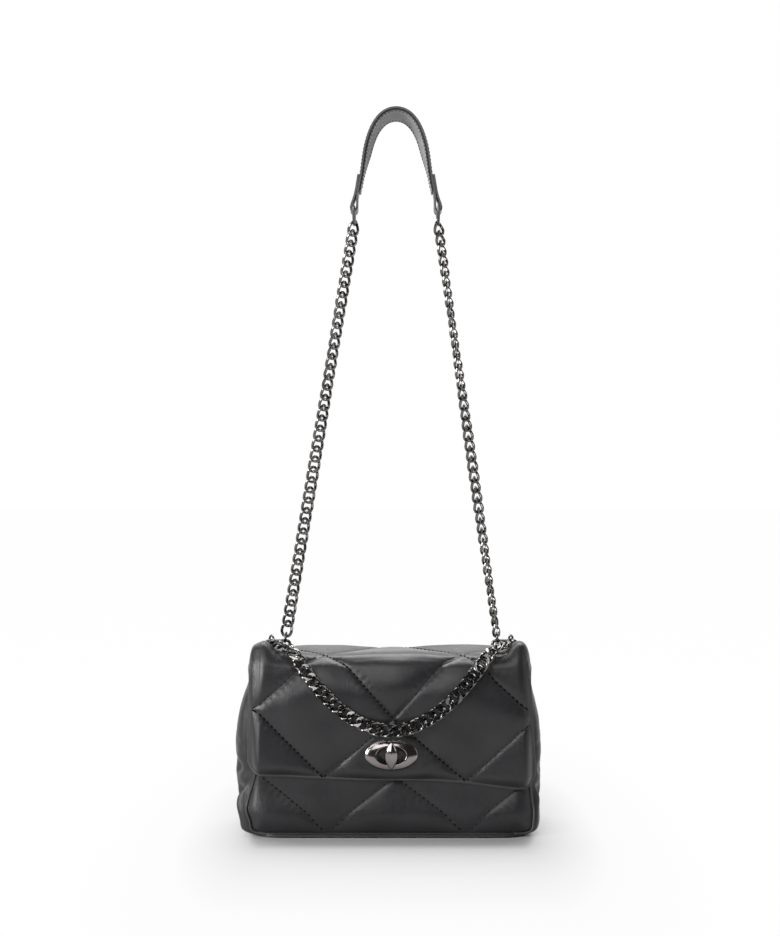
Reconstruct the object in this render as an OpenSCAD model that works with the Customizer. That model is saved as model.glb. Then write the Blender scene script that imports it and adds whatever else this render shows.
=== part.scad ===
// Flap shoulder bag in quilted leather, with a turning clasp, a draped front chain and a chain strap.
// X runs to the right, Y to the back, Z up. The origin is the middle of the base, on the floor.

/* [Body] */
// Widest width, across the bulge of the side gussets
body_w = 240; // [215:1:270]
// Height of the top face of the flap
body_h = 144; // [134:1:156]
// Depth between the outer faces of the front and back panels at the base
base_d = 68; // [60:1:80]
// Depth between the outer faces of the front and back panels at the top
top_d = 62; // [54:1:74]
// How far the front and back panels puff out between base and top
panel_puff = 4.5; // [3.5:0.5:6]
// How far the side gussets draw in from the bulge to the top
side_taper = 10; // [6:1:13]
// Radius of the bottom corners, seen from the front
bottom_r = 18; // [12:1:24]

/* [Leather] */
// Leather of the front and back panels and of the flap
leather_t = 1.6; // [1.3:0.1:1.9]
// Leather of the gussets and the base
gusset_t = 2; // [1.6:0.1:2.4]
// Foam padding behind the quilted leather
padding_t = 2.2; // [1.8:0.1:2.6]
// Fabric lining
lining_t = 1; // [0.8:0.1:1.2]

/* [Flap] */
// Width of the flap at the top
flap_top_w = 216; // [206:1:220]
// Width of the flap at its lower edge
flap_low_w = 228; // [220:1:232]
// Height of the lower edge of the flap above the floor
flap_low_z = 43; // [37:1:47]
// Outer radius of the crease along the top front edge
crease_r = 12; // [11:0.5:14]
// Radius of the lower corners of the flap
flap_corner_r = 13; // [9:1:16]

/* [Clasp] */
// Width of the clasp plate
plate_w = 42; // [40:1:46]
// Height of the clasp plate
plate_h = 24; // [23:1:25]
// Height of the clasp centre above the floor
clasp_z = 66; // [64:1:68]
// Length of the turning knob
knob_l = 21.6; // [20:0.2:23]
// Width of the turning knob
knob_w = 9.2; // [8.4:0.2:10]

/* [Front chain] */
// Spacing of the front chain's links
front_pitch = 9; // [8.8:0.1:9.4]
// Width across a link of the front chain
front_link_w = 12; // [11.6:0.1:12.4]

/* [Chain strap] */
// Spacing of the strap chain's links
strap_pitch = 8.4; // [8.2:0.1:8.8]
// Width across a link of the strap chain
strap_link_w = 10; // [9.8:0.1:10.4]
// Height of the strap's upper rings above the floor, with the strap held up
strap_top_z = 492; // [440:2:540]

/* [Shoulder piece] */
// Width of the shoulder piece in the middle
shoulder_w = 28; // [25:1:31]
// Width of the shoulder piece at its ends
shoulder_end_w = 20; // [18:1:22]
// Outer radius of the bend at the top of the shoulder piece
shoulder_r = 23.5; // [22:0.5:27]

/* [Hidden] */

// One overrun for every cut
over = 1;
// Fineness of true circles and of the arcs that are written as points
$fn = 96;
arc_steps = 14;
// Gap left where two sewn or glued layers lie on each other
seam_gap = 0.1;
// Gap between the closed flap and the front panel
flap_gap = 1.4;

// Body seen from the side: the front and back panels are arcs of one radius
panel_low_z = 2.4;
// How far the front panel and the gussets end below the top face
panel_top_drop = 10;
panel_top_z = body_h - panel_top_drop;
// How far the front and back panels end inside the outline of the gussets
panel_inset = 1;
bulge_z = 61;
chord_dy = (base_d - top_d) / 2;
chord_dz = panel_top_z - panel_low_z;
chord = sqrt(chord_dy * chord_dy + chord_dz * chord_dz);
panel_r = (chord * chord / 4 + panel_puff * panel_puff) / (2 * panel_puff);
mid_y = (base_d + top_d) / 4;
mid_z = (panel_low_z + panel_top_z) / 2;
// Centre of the front panel's arc, which lies behind it
arc_y = -mid_y + (panel_r - panel_puff) * chord_dz / chord;
arc_z = mid_z - (panel_r - panel_puff) * chord_dy / chord;

// Body seen from the front
side_h = body_h - bulge_z;
side_r = (side_h * side_h + side_taper * side_taper) / (2 * side_taper);

// Offsets of the flap's layers from the outer face of the front panel
flap_in = flap_gap;
flap_lining_out = flap_in + lining_t;
flap_pad_in = flap_lining_out + seam_gap;
flap_pad_out = flap_pad_in + padding_t;
flap_leather_in = flap_pad_out + seam_gap;
flap_out = flap_leather_in + leather_t;
// The same layers measured down from the top face
roof_t = flap_out - flap_in;

// Hinge line of the flap, the front chain and the strap: the top bars of the two D-rings
axis_rise = 7;
axis_z = body_h + axis_rise;
axis_gap = 1.2;

// D-rings
ring_wire_r = 1.25;
ring_w = 20;
// From the middle of a D-ring to the end of the flap's top
ring_end_gap = 15;
ring_x = flap_top_w / 2 - ring_end_gap;
ring_bend_r = 3;
slot_end_gap = 0.6;
slot_l = ring_w + 2 * ring_wire_r + 2 * slot_end_gap;
slot_half_y = 2.3;
ring_fit = 0.15;
tab_t = 1.5;
tab_w = 12;
tab_l = 18;
tab_fold_y = 11;
// Direction in which the tab leaves the bar
tab_leave_angle = 100;
tab_r = ring_wire_r + ring_fit + tab_t;
ring_bar_z = body_h - roof_t - seam_gap - tab_r;

// Connector rings between the D-rings and the chains
link_ring_r = 4.6;
link_ring_wire_r = 0.9;
link_ring_fit = 0.4;
link_ring_seat = link_ring_r - link_ring_wire_r - ring_wire_r - link_ring_fit;
ring_split = 5.9;
front_ring_x = ring_x + ring_split;
strap_ring_x = ring_x - ring_split;

// Links: a flat stadium ring, each tilted against the next about the chain's own line
link_tilt = 35;
// How much longer a link is than the spacing of its chain
front_link_lap = 7;
strap_link_lap = 6.5;
front_link_l = front_pitch + front_link_lap;
front_band = 2.6;
front_link_t = 2.2;
strap_link_l = strap_pitch + strap_link_lap;
strap_band = 2.2;
strap_link_t = 1.9;
rock_play = 1.5;
ring_play = 1;

// Front chain: it lies on the flap, hanging in a curve between the two front rings
front_rest = 4.9;
front_low_z = 86;
lie_offset = flap_out + front_rest;
lie_crease_r = crease_r + front_rest;

// Clasp
plate_t = 2.6;
plate_dome_r = 110;
recess_w = 23.4;
recess_h = 14.5;
floor_t = 1.2;
floor_lip = 2.2;
backing_w = 34;
backing_h = 20;
backing_t = 0.8;
prong_w = 4;
prong_t = 0.8;
prong_x = 14.4;
prong_slit_gap = 0.3;
knob_stand = 0.6;
knob_t = 3.4;
knob_dome_r = 16;
post_r = 2.6;
post_fit = 0.08;
retainer_r = 4.4;
retainer_t = 0.7;
clasp_y = arc_y - sqrt(pow(panel_r + flap_out, 2) - pow(clasp_z - arc_z, 2));
clasp_tilt = asin((clasp_z - arc_z) / (panel_r + flap_out));

// Magnets of the closure
magnet_r = 7;
magnet_fit = 0.15;
flap_magnet_t = 1.5;
body_magnet_t = 2.4;
magnet_proud = 0.4;

// Shell pieces inside the body
board_t = 1.8;
board_inset = 6;
board_rest = 0.2;
lining_inset = 2.5;
lining_gap = 0.3;
pocket_w = 140;
pocket_h = 72;
pocket_d = 8;
pocket_z = 34;
pocket_t = 1;

// Strap
strap_shift = 4;

// Shoulder piece
shoulder_t = 1.8;
shoulder_lining_t = 1.3;
leg_angle = 10;
shoulder_ring_wire_r = 1.25;
shoulder_ring_fit = 0.2;
shoulder_ring_side = 1.2;
fold_ring_r = shoulder_end_w / 2 + shoulder_ring_side + shoulder_ring_wire_r;
fold_z = strap_top_z + fold_ring_r;
leg_l = 65;
strap_half_span = shoulder_r * cos(leg_angle) + leg_l * sin(leg_angle);
tail_join = 13;
tail_l = 27;
taper_low = 14;
taper_high = 52;

// Helpers

// Points of an arc round [cx, cz], by angles
function arc_pts(cx, cz, r, a0, a1, n = arc_steps) =
  [for (i = [0:n]) [cx + r * cos(a0 + (a1 - a0) * i / n), cz + r * sin(a0 + (a1 - a0) * i / n)]];

function rev(v) = [for (i = [len(v) - 1:-1:0]) v[i]];

// Height of the arc of the front at a given offset: distance of the surface in front of the middle
function front_at(z, off) = sqrt(pow(panel_r + off, 2) - pow(z - arc_z, 2)) - arc_y;

// Centre of the crease between the top face and a front or back face of the given outer offset
crease_z = body_h - crease_r;
function crease_y(off) = sqrt(pow(panel_r + off - crease_r, 2) - pow(crease_z - arc_z, 2)) - arc_y;
function crease_a(off) = atan((crease_z - arc_z) / (crease_y(off) + arc_y));

// Side profile of one face of a wrap whose outer face has the offset off: top, crease and front, at a
// depth below the outer face. Points are [distance from the middle, height], from the hinge line down.
function wrap_face(off, depth, start_y, low_z) = concat(
  [[start_y, body_h - depth]],
  arc_pts(crease_y(off), crease_z, crease_r - depth, 90, crease_a(off)),
  arc_pts(-arc_y, arc_z, panel_r + off - depth, crease_a(off),
    asin((low_z - arc_z) / (panel_r + off - depth)))
);

// Seen from the front: the half outline of the body, drawn in by an inset, from the top down
function half_outline(inset, top_z) =
  let (
    cx = body_w / 2 - side_r,
    r = side_r - inset,
    br = bottom_r - inset,
    bz = inset + br,
    bx = cx + sqrt(pow(r - br, 2) - pow(bz - bulge_z, 2)),
    a_top = asin((top_z - bulge_z) / r),
    a_low = atan((bz - bulge_z) / (bx - cx))
  )
  concat(arc_pts(cx, bulge_z, r, a_top, a_low), arc_pts(bx, bz, br, a_low, -90));

function full_outline(inset, top_z) =
  let (h = half_outline(inset, top_z)) concat(h, [for (p = rev(h)) [-p[0], p[1]]]);

module body_prism(inset, top_z) {
  rotate([90, 0, 0])
    linear_extrude(height = 2 * body_w, center = true)
      polygon(full_outline(inset, top_z));
}

// Space between the front and back arcs, drawn in by an inset
module between_panels(inset) {
  intersection() {
    translate([0, arc_y, arc_z])
      rotate([0, 90, 0])
        cylinder(r = panel_r - inset, h = 2 * body_w, center = true);
    translate([0, -arc_y, arc_z])
      rotate([0, 90, 0])
        cylinder(r = panel_r - inset, h = 2 * body_w, center = true);
  }
}

// A layer that wraps over the top and down one side; side -1 is the front, 1 the back
module wrap_layer(side, off, depth, thick, start_y, low_z) {
  mirror([0, side < 0 ? 1 : 0, 0])
    rotate([90, 0, 90])
      linear_extrude(height = 2 * body_w, center = true)
        polygon(concat(
          wrap_face(off, depth, start_y, low_z),
          rev(wrap_face(off, depth + thick, start_y, low_z))
        ));
}

// The flap's outline seen from the front, drawn in by an inset
module flap_prism(inset) {
  r = flap_corner_r - inset / 2;
  low = flap_low_z + inset;
  slope = (flap_low_w - flap_top_w) / 2 / (body_h - flap_low_z);
  lean = atan(slope);
  top_x = flap_top_w / 2 - inset;
  low_x = top_x + slope * (body_h - low);
  cx = low_x - (slope * r + r / cos(lean));
  corner = arc_pts(cx, low + r, r, lean, -90);
  half = concat([[top_x - slope * over, body_h + over]], corner);
  rotate([90, 0, 0])
    linear_extrude(height = 2 * body_w, center = true)
      polygon(concat(half, [for (p = rev(half)) [-p[0], p[1]]]));
}

module both_sides() {
  children();
  mirror([1, 0, 0]) children();
}

// Slots through which the D-rings rise
module slots(inset) {
  both_sides()
    translate([ring_x, 0, body_h])
      cube([slot_l + 2 * inset, 2 * slot_half_y + 2 * inset, 3 * roof_t], center = true);
}

module ellipse_plate(w, h, t) {
  linear_extrude(height = t)
    polygon([for (i = [0:71]) [w / 2 * cos(5 * i), h / 2 * sin(5 * i)]]);
}

// Places clasp parts: local Z points out of the flap
module at_clasp() {
  translate([0, clasp_y, clasp_z])
    rotate([90 - clasp_tilt, 0, 0])
      children();
}

// Body

module front_panel() {
  color("dimgray")
    difference() {
      intersection() {
        body_prism(panel_inset, panel_top_z);
        difference() {
          between_panels(0);
          between_panels(leather_t);
        }
        translate([0, -body_w, 0])
          cube(2 * body_w, center = true);
      }
      translate([0, 0, clasp_z])
        rotate([90, 0, 0])
          cylinder(r = magnet_r + magnet_fit, h = body_w);
    }
}

module front_padding() {
  color("lightgray")
    difference() {
      intersection() {
        body_prism(board_inset, panel_top_z - board_inset);
        difference() {
          between_panels(leather_t + seam_gap);
          between_panels(leather_t + seam_gap + padding_t);
        }
        translate([0, -body_w, 0])
          cube(2 * body_w, center = true);
      }
      translate([0, 0, clasp_z])
        rotate([90, 0, 0])
          cylinder(r = magnet_r + magnet_fit, h = body_w);
    }
}

// The back panel, its padding and the top lining run up the back and over the top to the hinge line
module back_layer(depth, thick, inset, low_z) {
  difference() {
    intersection() {
      body_prism(inset, body_h + over);
      wrap_layer(1, 0, depth, thick, axis_gap / 2, low_z);
    }
    slots(0);
  }
}

module back_panel() {
  color("dimgray")
    back_layer(0, leather_t, panel_inset, panel_low_z);
}

module back_padding() {
  color("lightgray")
    back_layer(leather_t + seam_gap, padding_t, board_inset, panel_low_z + board_inset);
}

module top_lining() {
  color("silver")
    back_layer(roof_t - lining_t, lining_t, board_inset, panel_top_z - lining_inset + lining_gap);
}

module gusset(side) {
  color("gray")
    intersection() {
      difference() {
        body_prism(0, panel_top_z);
        body_prism(gusset_t, panel_top_z + over);
      }
      between_panels(leather_t + seam_gap);
      translate([side * (body_w / 2 + gusset_split), 0, 0])
        cube([body_w, 2 * body_w, 4 * body_h], center = true);
    }
}

gusset_split = body_w / 2 - bottom_r - board_inset;

module base_panel() {
  color("gray")
    intersection() {
      difference() {
        body_prism(0, panel_top_z);
        body_prism(gusset_t, panel_top_z + over);
      }
      between_panels(leather_t + seam_gap);
      cube([2 * (gusset_split - seam_gap), 2 * body_w, bottom_r], center = true);
    }
}

module base_board() {
  color("tan")
    translate([0, 0, gusset_t + board_rest + board_t / 2])
      cube([2 * (gusset_split - board_inset), base_d - 2 * board_inset, board_t], center = true);
}

lining_out = leather_t + padding_t + seam_gap + lining_gap;
lining_low = gusset_t + board_rest + board_t + lining_gap;

module lining() {
  color("silver")
    difference() {
      intersection() {
        body_prism(lining_low, panel_top_z - lining_inset);
        between_panels(lining_out);
      }
      intersection() {
        body_prism(lining_low + lining_t, panel_top_z + over);
        between_panels(lining_out + lining_t);
      }
    }
}

// The pocket is a shallow open box whose rear edges are sewn to the lining's back wall
pocket_back_y = front_at(pocket_z + pocket_h, -lining_out - lining_t) - lining_gap;

module inner_pocket() {
  color("silver")
    translate([-pocket_w / 2, pocket_back_y - pocket_d, pocket_z])
      difference() {
        cube([pocket_w, pocket_d, pocket_h]);
        translate([pocket_t, pocket_t, pocket_t])
          cube([pocket_w - 2 * pocket_t, pocket_d - 2 * pocket_t, pocket_h]);
      }
}

// Closure

body_magnet_y = front_at(clasp_z, 0);

module body_magnet() {
  color("gold")
    translate([0, -body_magnet_y + body_magnet_t, clasp_z])
      rotate([90, 0, 0])
        cylinder(r = magnet_r, h = body_magnet_t + magnet_proud);
}

flap_magnet_y = front_at(clasp_z, flap_in) - magnet_proud;

module flap_magnet() {
  color("gold")
    translate([0, -flap_magnet_y, clasp_z])
      rotate([90, 0, 0])
        cylinder(r = magnet_r, h = flap_magnet_t);
}

// Flap

module flap_layer(depth, thick, inset) {
  difference() {
    intersection() {
      wrap_layer(-1, flap_out, depth, thick, axis_gap / 2, flap_low_z + inset);
      flap_prism(inset);
    }
    slots(inset);
  }
}

module flap_leather() {
  color("dimgray")
    difference() {
      flap_layer(0, leather_t, 0);
      at_clasp()
        translate([0, 0, -2 * roof_t]) {
          ellipse_plate(floor_w + 2 * prong_slit_gap, floor_h + 2 * prong_slit_gap, 4 * roof_t);
          prong_slits(4 * roof_t);
        }
    }
}

module flap_padding() {
  color("lightgray")
    difference() {
      flap_layer(leather_t + seam_gap, padding_t, board_inset);
      at_clasp()
        translate([0, 0, -2 * roof_t])
          ellipse_plate(backing_w + 2 * floor_lip, backing_h + 2 * floor_lip, 4 * roof_t);
    }
}

module flap_lining() {
  color("black")
    difference() {
      flap_layer(roof_t - lining_t, lining_t, seam_gap);
      translate([0, 0, clasp_z])
        rotate([90, 0, 0])
          cylinder(r = magnet_r + magnet_fit, h = body_w);
    }
}

// Clasp

// The plate lies on the leather; the floor closes its recess from behind, the backing grips the leather
plate_seat = seam_gap;

module clasp_plate() {
  color("slategray")
    at_clasp()
      difference() {
        union() {
          intersection() {
            translate([0, 0, plate_seat])
              ellipse_plate(plate_w, plate_h, plate_t);
            translate([0, 0, plate_seat + plate_t - plate_dome_r])
              sphere(r = plate_dome_r, $fn = 200);
          }
          both_sides()
            translate([prong_x - prong_t / 2, -prong_w / 2, -backing_z])
              cube([prong_t, prong_w, backing_z + plate_seat + plate_t / 2]);
        }
        translate([0, 0, -over])
          ellipse_plate(recess_w, recess_h, plate_t + 3 * over);
      }
}

floor_z = -floor_t - seam_gap;
floor_w = recess_w + floor_lip;
floor_h = recess_h + floor_lip;

// Slits that the plate's two prongs pass through
module prong_slits(t) {
  both_sides()
    translate([prong_x - prong_t / 2 - prong_slit_gap, -prong_w / 2 - prong_slit_gap, 0])
      cube([prong_t + 2 * prong_slit_gap, prong_w + 2 * prong_slit_gap, t]);
}

backing_z = leather_t + seam_gap + backing_t + post_fit;

module clasp_floor() {
  color("darkslategray")
    at_clasp()
      translate([0, 0, floor_z])
        difference() {
          ellipse_plate(floor_w, floor_h, floor_t);
          translate([0, 0, -over])
            cylinder(r = post_r + post_fit, h = floor_t + 2 * over);
        }
}

module clasp_backing() {
  color("darkslategray")
    at_clasp()
      translate([0, 0, -backing_z])
        difference() {
          ellipse_plate(backing_w, backing_h, backing_t);
          translate([0, 0, -over]) {
            cylinder(r = post_r + post_fit, h = backing_t + 2 * over);
            prong_slits(backing_t + 2 * over);
          }
        }
}

knob_z = plate_seat + plate_t + knob_stand;
// Two equal circles cross in the knob's pointed oval
knob_arc_r = (knob_l * knob_l + knob_w * knob_w) / (4 * knob_w);

module clasp_knob() {
  color("lightslategray")
    at_clasp() {
      intersection() {
        translate([knob_arc_r - knob_w / 2, 0, knob_z])
          cylinder(r = knob_arc_r, h = knob_t);
        translate([knob_w / 2 - knob_arc_r, 0, knob_z])
          cylinder(r = knob_arc_r, h = knob_t);
        translate([0, 0, knob_z + knob_t - knob_dome_r])
          sphere(r = knob_dome_r, $fn = 200);
      }
      translate([0, 0, -backing_z - seam_gap])
        cylinder(r = post_r, h = backing_z + seam_gap + knob_z + knob_t / 2);
    }
}

module clasp_retainer() {
  color("lightslategray")
    at_clasp()
      translate([0, 0, -backing_z - seam_gap - retainer_t])
        cylinder(r = retainer_r, h = retainer_t);
}

// D-rings

module d_ring(side) {
  hw = ring_w / 2;
  bow_x = hw - ring_bend_r;
  leg_h = axis_z - ring_bend_r - ring_bar_z - ring_bend_r;
  color("slategray")
    translate([side * ring_x, 0, 0])
      union() {
        for (s = [0, 1])
          mirror([s, 0, 0]) {
            translate([0, 0, axis_z])
              rotate([0, 90, 0])
                cylinder(r = ring_wire_r, h = bow_x);
            translate([0, 0, ring_bar_z])
              rotate([0, 90, 0])
                cylinder(r = ring_wire_r, h = bow_x);
            translate([bow_x, 0, axis_z - ring_bend_r])
              rotate([90, 0, 0])
                rotate_extrude(angle = 90)
                  translate([ring_bend_r, 0])
                    circle(r = ring_wire_r);
            translate([bow_x, 0, ring_bar_z + ring_bend_r])
              rotate([90, 0, 0])
                rotate_extrude(angle = -90)
                  translate([ring_bend_r, 0])
                    circle(r = ring_wire_r);
            translate([hw, 0, ring_bar_z + ring_bend_r])
              cylinder(r = ring_wire_r, h = leg_h);
          }
      }
}

// Leather tab folded round the lower bar and sewn under the top
module ring_tab(side) {
  top_z = body_h - roof_t - seam_gap;
  upper = top_z - tab_t;
  bar_r = ring_wire_r + ring_fit;
  color("dimgray")
    translate([side * ring_x, 0, 0])
      rotate([90, 0, 90])
        linear_extrude(height = tab_w, center = true)
          difference() {
            polygon(concat(
              [[tab_l, top_z]],
              arc_pts(0, ring_bar_z, tab_r, 90, 270),
              [[tab_fold_y, upper - tab_t], [tab_l, upper - tab_t]]
            ));
            polygon(concat(
              [[tab_fold_y - tab_t, upper - seam_gap], [0, upper - seam_gap]],
              arc_pts(0, ring_bar_z, bar_r, tab_leave_angle, 270)
            ));
          }
}

// Chains

// One link, its long way along X, flat in XY
module flat_link(l, w, band, t) {
  linear_extrude(height = t, center = true)
    difference() {
      stadium(l, w);
      stadium(l - 2 * band, w - 2 * band);
    }
}

module stadium(l, w) {
  c = (l - w) / 2;
  square([2 * c, w], center = true);
  translate([c, 0])
    circle(r = w / 2, $fn = 32);
  translate([-c, 0])
    circle(r = w / 2, $fn = 32);
}

function unit(v) = v / norm(v);

// Puts children at p with local X along the chain, local Z out of its flat
module along(p, t, n) {
  y = unit(cross(n, t));
  z = cross(t, y);
  multmatrix([
    [t[0], y[0], z[0], p[0]],
    [t[1], y[1], z[1], p[1]],
    [t[2], y[2], z[2], p[2]],
    [0, 0, 0, 1]
  ])
    children();
}

// Small ring round the D-ring's top bar, in the plane of the chain's first direction
module link_ring(side, x, t, n) {
  color("slategray")
    along([side * x, 0, axis_z] + link_ring_seat * t, t, n)
      rotate([90, 0, 0])
        rotate_extrude()
          translate([link_ring_r, 0])
            circle(r = link_ring_wire_r, $fn = 24);
}

// Side profile of the front chain's line: over the top, round the crease, down the flap
lie_y = crease_y(flap_out);
lie_end_a = crease_a(flap_out);
lie_top = body_h + front_rest;
lie_a = asin((axis_z - lie_top) / lie_y);
seg1 = sqrt(pow(lie_y, 2) + pow(axis_z - lie_top, 2));
seg2 = lie_crease_r * (90 - lie_end_a) * PI / 180;
lie_front_r = panel_r + lie_offset;
front_low_a = asin((front_low_z - arc_z) / lie_front_r);
drape_v = seg1 + seg2 + lie_front_r * (lie_end_a - front_low_a) * PI / 180;

function lie_point(v) =
  v < seg1 ? [-lie_y * v / seg1, axis_z + (lie_top - axis_z) * v / seg1] :
  v < seg1 + seg2 ?
    let (a = 90 - (v - seg1) / lie_crease_r * 180 / PI)
    [-lie_y - lie_crease_r * cos(a), crease_z + lie_crease_r * sin(a)] :
    let (a = lie_end_a - (v - seg1 - seg2) / lie_front_r * 180 / PI)
    [arc_y - lie_front_r * cos(a), arc_z + lie_front_r * sin(a)];

function lie_normal(v) =
  v < seg1 ? [sin(lie_a), cos(lie_a)] :
  v < seg1 + seg2 ?
    let (a = 90 - (v - seg1) / lie_crease_r * 180 / PI) [-cos(a), sin(a)] :
    let (a = lie_end_a - (v - seg1 - seg2) / lie_front_r * 180 / PI) [-cos(a), sin(a)];

function drape_at(x) = drape_v * (1 - pow(x / front_ring_x, 2));
function drape_point(x) = let (q = lie_point(drape_at(x))) [x, q[0], q[1]];
function drape_normal(x) = let (q = lie_normal(drape_at(x))) [0, q[0], q[1]];

drape_n = 240;
drape_pts = [for (i = [0:drape_n]) drape_point(front_ring_x * (2 * i / drape_n - 1))];
function run_lengths(p, i = 1, acc = [0]) =
  i >= len(p) ? acc : run_lengths(p, i + 1, concat(acc, [acc[i - 1] + norm(p[i] - p[i - 1])]));
drape_run = run_lengths(drape_pts);
drape_l = drape_run[drape_n];
drape_x = [for (i = [0:drape_n]) [drape_run[i], front_ring_x * (2 * i / drape_n - 1)]];
// Distance from the hinge line to the middle of the first link
front_start = link_ring_seat + link_ring_r - link_ring_wire_r - ring_play - front_band + front_link_l / 2;
front_n = 2 * round((drape_l - 2 * front_start) / front_pitch / 2 + 1 / 2);
front_step = (drape_l - 2 * front_start) / (front_n - 1);

function drape_dir(side) =
  unit(drape_point(side * front_ring_x * (1 - 1 / drape_n)) - drape_point(side * front_ring_x));

module front_chain() {
  color("slategray")
    for (i = [0:front_n - 1]) {
      s = front_start + i * front_step;
      x = lookup(s, drape_x);
      a = drape_point(lookup(s - front_pitch / 2, drape_x));
      b = drape_point(lookup(s + front_pitch / 2, drape_x));
      along(drape_point(x), unit(b - a), drape_normal(x))
        rotate([i % 2 == 0 ? -link_tilt : link_tilt, 0, 0])
          flat_link(front_link_l, front_link_w, front_band, front_link_t);
    }
}

// Strap chains run straight from the D-rings to the shoulder piece's rings
strap_low = [strap_ring_x, 0, axis_z];
function strap_top(side) = [side * strap_half_span + strap_shift, 0, strap_top_z];
function strap_base(side) = [side * strap_ring_x, 0, axis_z];
function strap_dir(side) = unit(strap_top(side) - strap_base(side));
strap_start = link_ring_seat + link_ring_r - link_ring_wire_r - ring_play - strap_band + strap_link_l / 2;
strap_end = shoulder_ring_wire_r + strap_band + rock_play - strap_link_l / 2;
function strap_l(side) = norm(strap_top(side) - strap_base(side)) - strap_start + strap_end;
strap_n = 2 * round((strap_l(1) / strap_pitch + 1) / 2);
function strap_step(side) = strap_l(side) / (strap_n - 1);
lower_n = strap_n / 2;

module strap_chain(side, first, last) {
  t = strap_dir(side);
  color("slategray")
    for (i = [first:last])
      along(strap_base(side) + t * (strap_start + i * strap_step(side)), t, [0, -1, 0])
        rotate([i % 2 == 0 ? side * link_tilt : -side * link_tilt, 0, 0])
          flat_link(strap_link_l, strap_link_w, strap_band, strap_link_t);
}

// Shoulder piece

// Seen from the front: outer line of the arch and legs, drawn in by an inset
arch_c_z = fold_z + leg_l * cos(leg_angle) - shoulder_r * sin(leg_angle);
foot_r = shoulder_ring_wire_r + shoulder_ring_fit;

function arch_line(inset, cut) =
  let (
    r = shoulder_r - inset,
    half = concat(
      [[r * cos(leg_angle) + (leg_l - cut) * sin(leg_angle),
        r * sin(leg_angle) - (leg_l - cut) * cos(leg_angle)]],
      arc_pts(0, 0, r, leg_angle, 90)
    )
  )
  concat(half, [for (p = rev(half)) [-p[0], p[1]]]);

module arch(inset, t, cut) {
  translate([strap_shift, 0, arch_c_z])
    rotate([90, 0, 0])
      linear_extrude(height = 2 * shoulder_w, center = true)
        polygon(concat(arch_line(inset, cut), rev(arch_line(inset + t, cut))));
}

// The end of the strip: folded round the ring's bar, outward and up, and sewn to the leg
module strip_fold(side) {
  out_r = foot_r + shoulder_t;
  translate([side * strap_half_span + strap_shift, 0, fold_z])
    mirror([side < 0 ? 1 : 0, 0, 0])
      rotate([90, 0, 0])
        linear_extrude(height = 2 * shoulder_w, center = true)
          rotate(leg_angle)
            difference() {
              polygon(concat(
                arc_pts(0, 0, out_r, 180, 360),
                [[shoulder_t, tail_join], [shoulder_t, tail_l], [-shoulder_t, tail_l], [-shoulder_t, tail_join]]
              ));
              polygon(concat(arc_pts(0, 0, foot_r, 180, 360), [[0, tail_join - shoulder_t]]));
            }
}

module taper_prism() {
  hw = shoulder_w / 2;
  he = shoulder_end_w / 2;
  z0 = fold_z + taper_low;
  z1 = fold_z + taper_high;
  top = fold_z + 2 * leg_l + shoulder_r;
  low = fold_z - taper_low;
  rotate([90, 0, 90])
    linear_extrude(height = 2 * body_w, center = true)
      polygon([[he, low], [he, z0], [hw, z1], [hw, top], [-hw, top], [-hw, z1], [-he, z0], [-he, low]]);
}

module shoulder_leather() {
  color("dimgray")
    intersection() {
      union() {
        arch(0, shoulder_t, tail_join);
        strip_fold(-1);
        strip_fold(1);
      }
      taper_prism();
    }
}

module shoulder_lining() {
  color("black")
    intersection() {
      arch(shoulder_t + seam_gap, shoulder_lining_t, tail_join + shoulder_t);
      taper_prism();
    }
}

module shoulder_ring(side) {
  top = strap_top(side);
  color("slategray")
    translate([top[0], 0, fold_z])
      rotate([0, 0, 90])
        union() {
          rotate([90, 0, 0])
            rotate_extrude(angle = -180)
              translate([fold_ring_r, 0])
                circle(r = shoulder_ring_wire_r);
          rotate([0, 90, 0])
            cylinder(r = shoulder_ring_wire_r, h = 2 * fold_ring_r, center = true);
        }
}

front_panel();
front_padding();
back_panel();
back_padding();
gusset(-1);  // gusset_left
gusset(1);  // gusset_right
base_panel();
base_board();
lining();
top_lining();
inner_pocket();
body_magnet();
flap_leather();
flap_padding();
flap_lining();
flap_magnet();
clasp_plate();
clasp_floor();
clasp_backing();
clasp_knob();
clasp_retainer();
d_ring(-1);  // d_ring_left
d_ring(1);  // d_ring_right
ring_tab(-1);  // ring_tab_left
ring_tab(1);  // ring_tab_right
link_ring(-1, front_ring_x, drape_dir(-1), drape_normal(-front_ring_x));  // front_ring_left
link_ring(1, front_ring_x, drape_dir(1), drape_normal(front_ring_x));  // front_ring_right
front_chain();
link_ring(-1, strap_ring_x, strap_dir(-1), [0, -1, 0]);  // strap_ring_left
link_ring(1, strap_ring_x, strap_dir(1), [0, -1, 0]);  // strap_ring_right
strap_chain(-1, 0, lower_n - 1);  // strap_chain_left_lower
strap_chain(1, 0, lower_n - 1);  // strap_chain_right_lower
strap_chain(-1, lower_n, strap_n - 1);  // strap_chain_left_upper
strap_chain(1, lower_n, strap_n - 1);  // strap_chain_right_upper
shoulder_leather();
shoulder_lining();
shoulder_ring(-1);  // shoulder_ring_left
shoulder_ring(1);  // shoulder_ring_right
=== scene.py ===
import math
import bpy
import bmesh
import numpy as np
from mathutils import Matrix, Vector, noise


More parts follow.
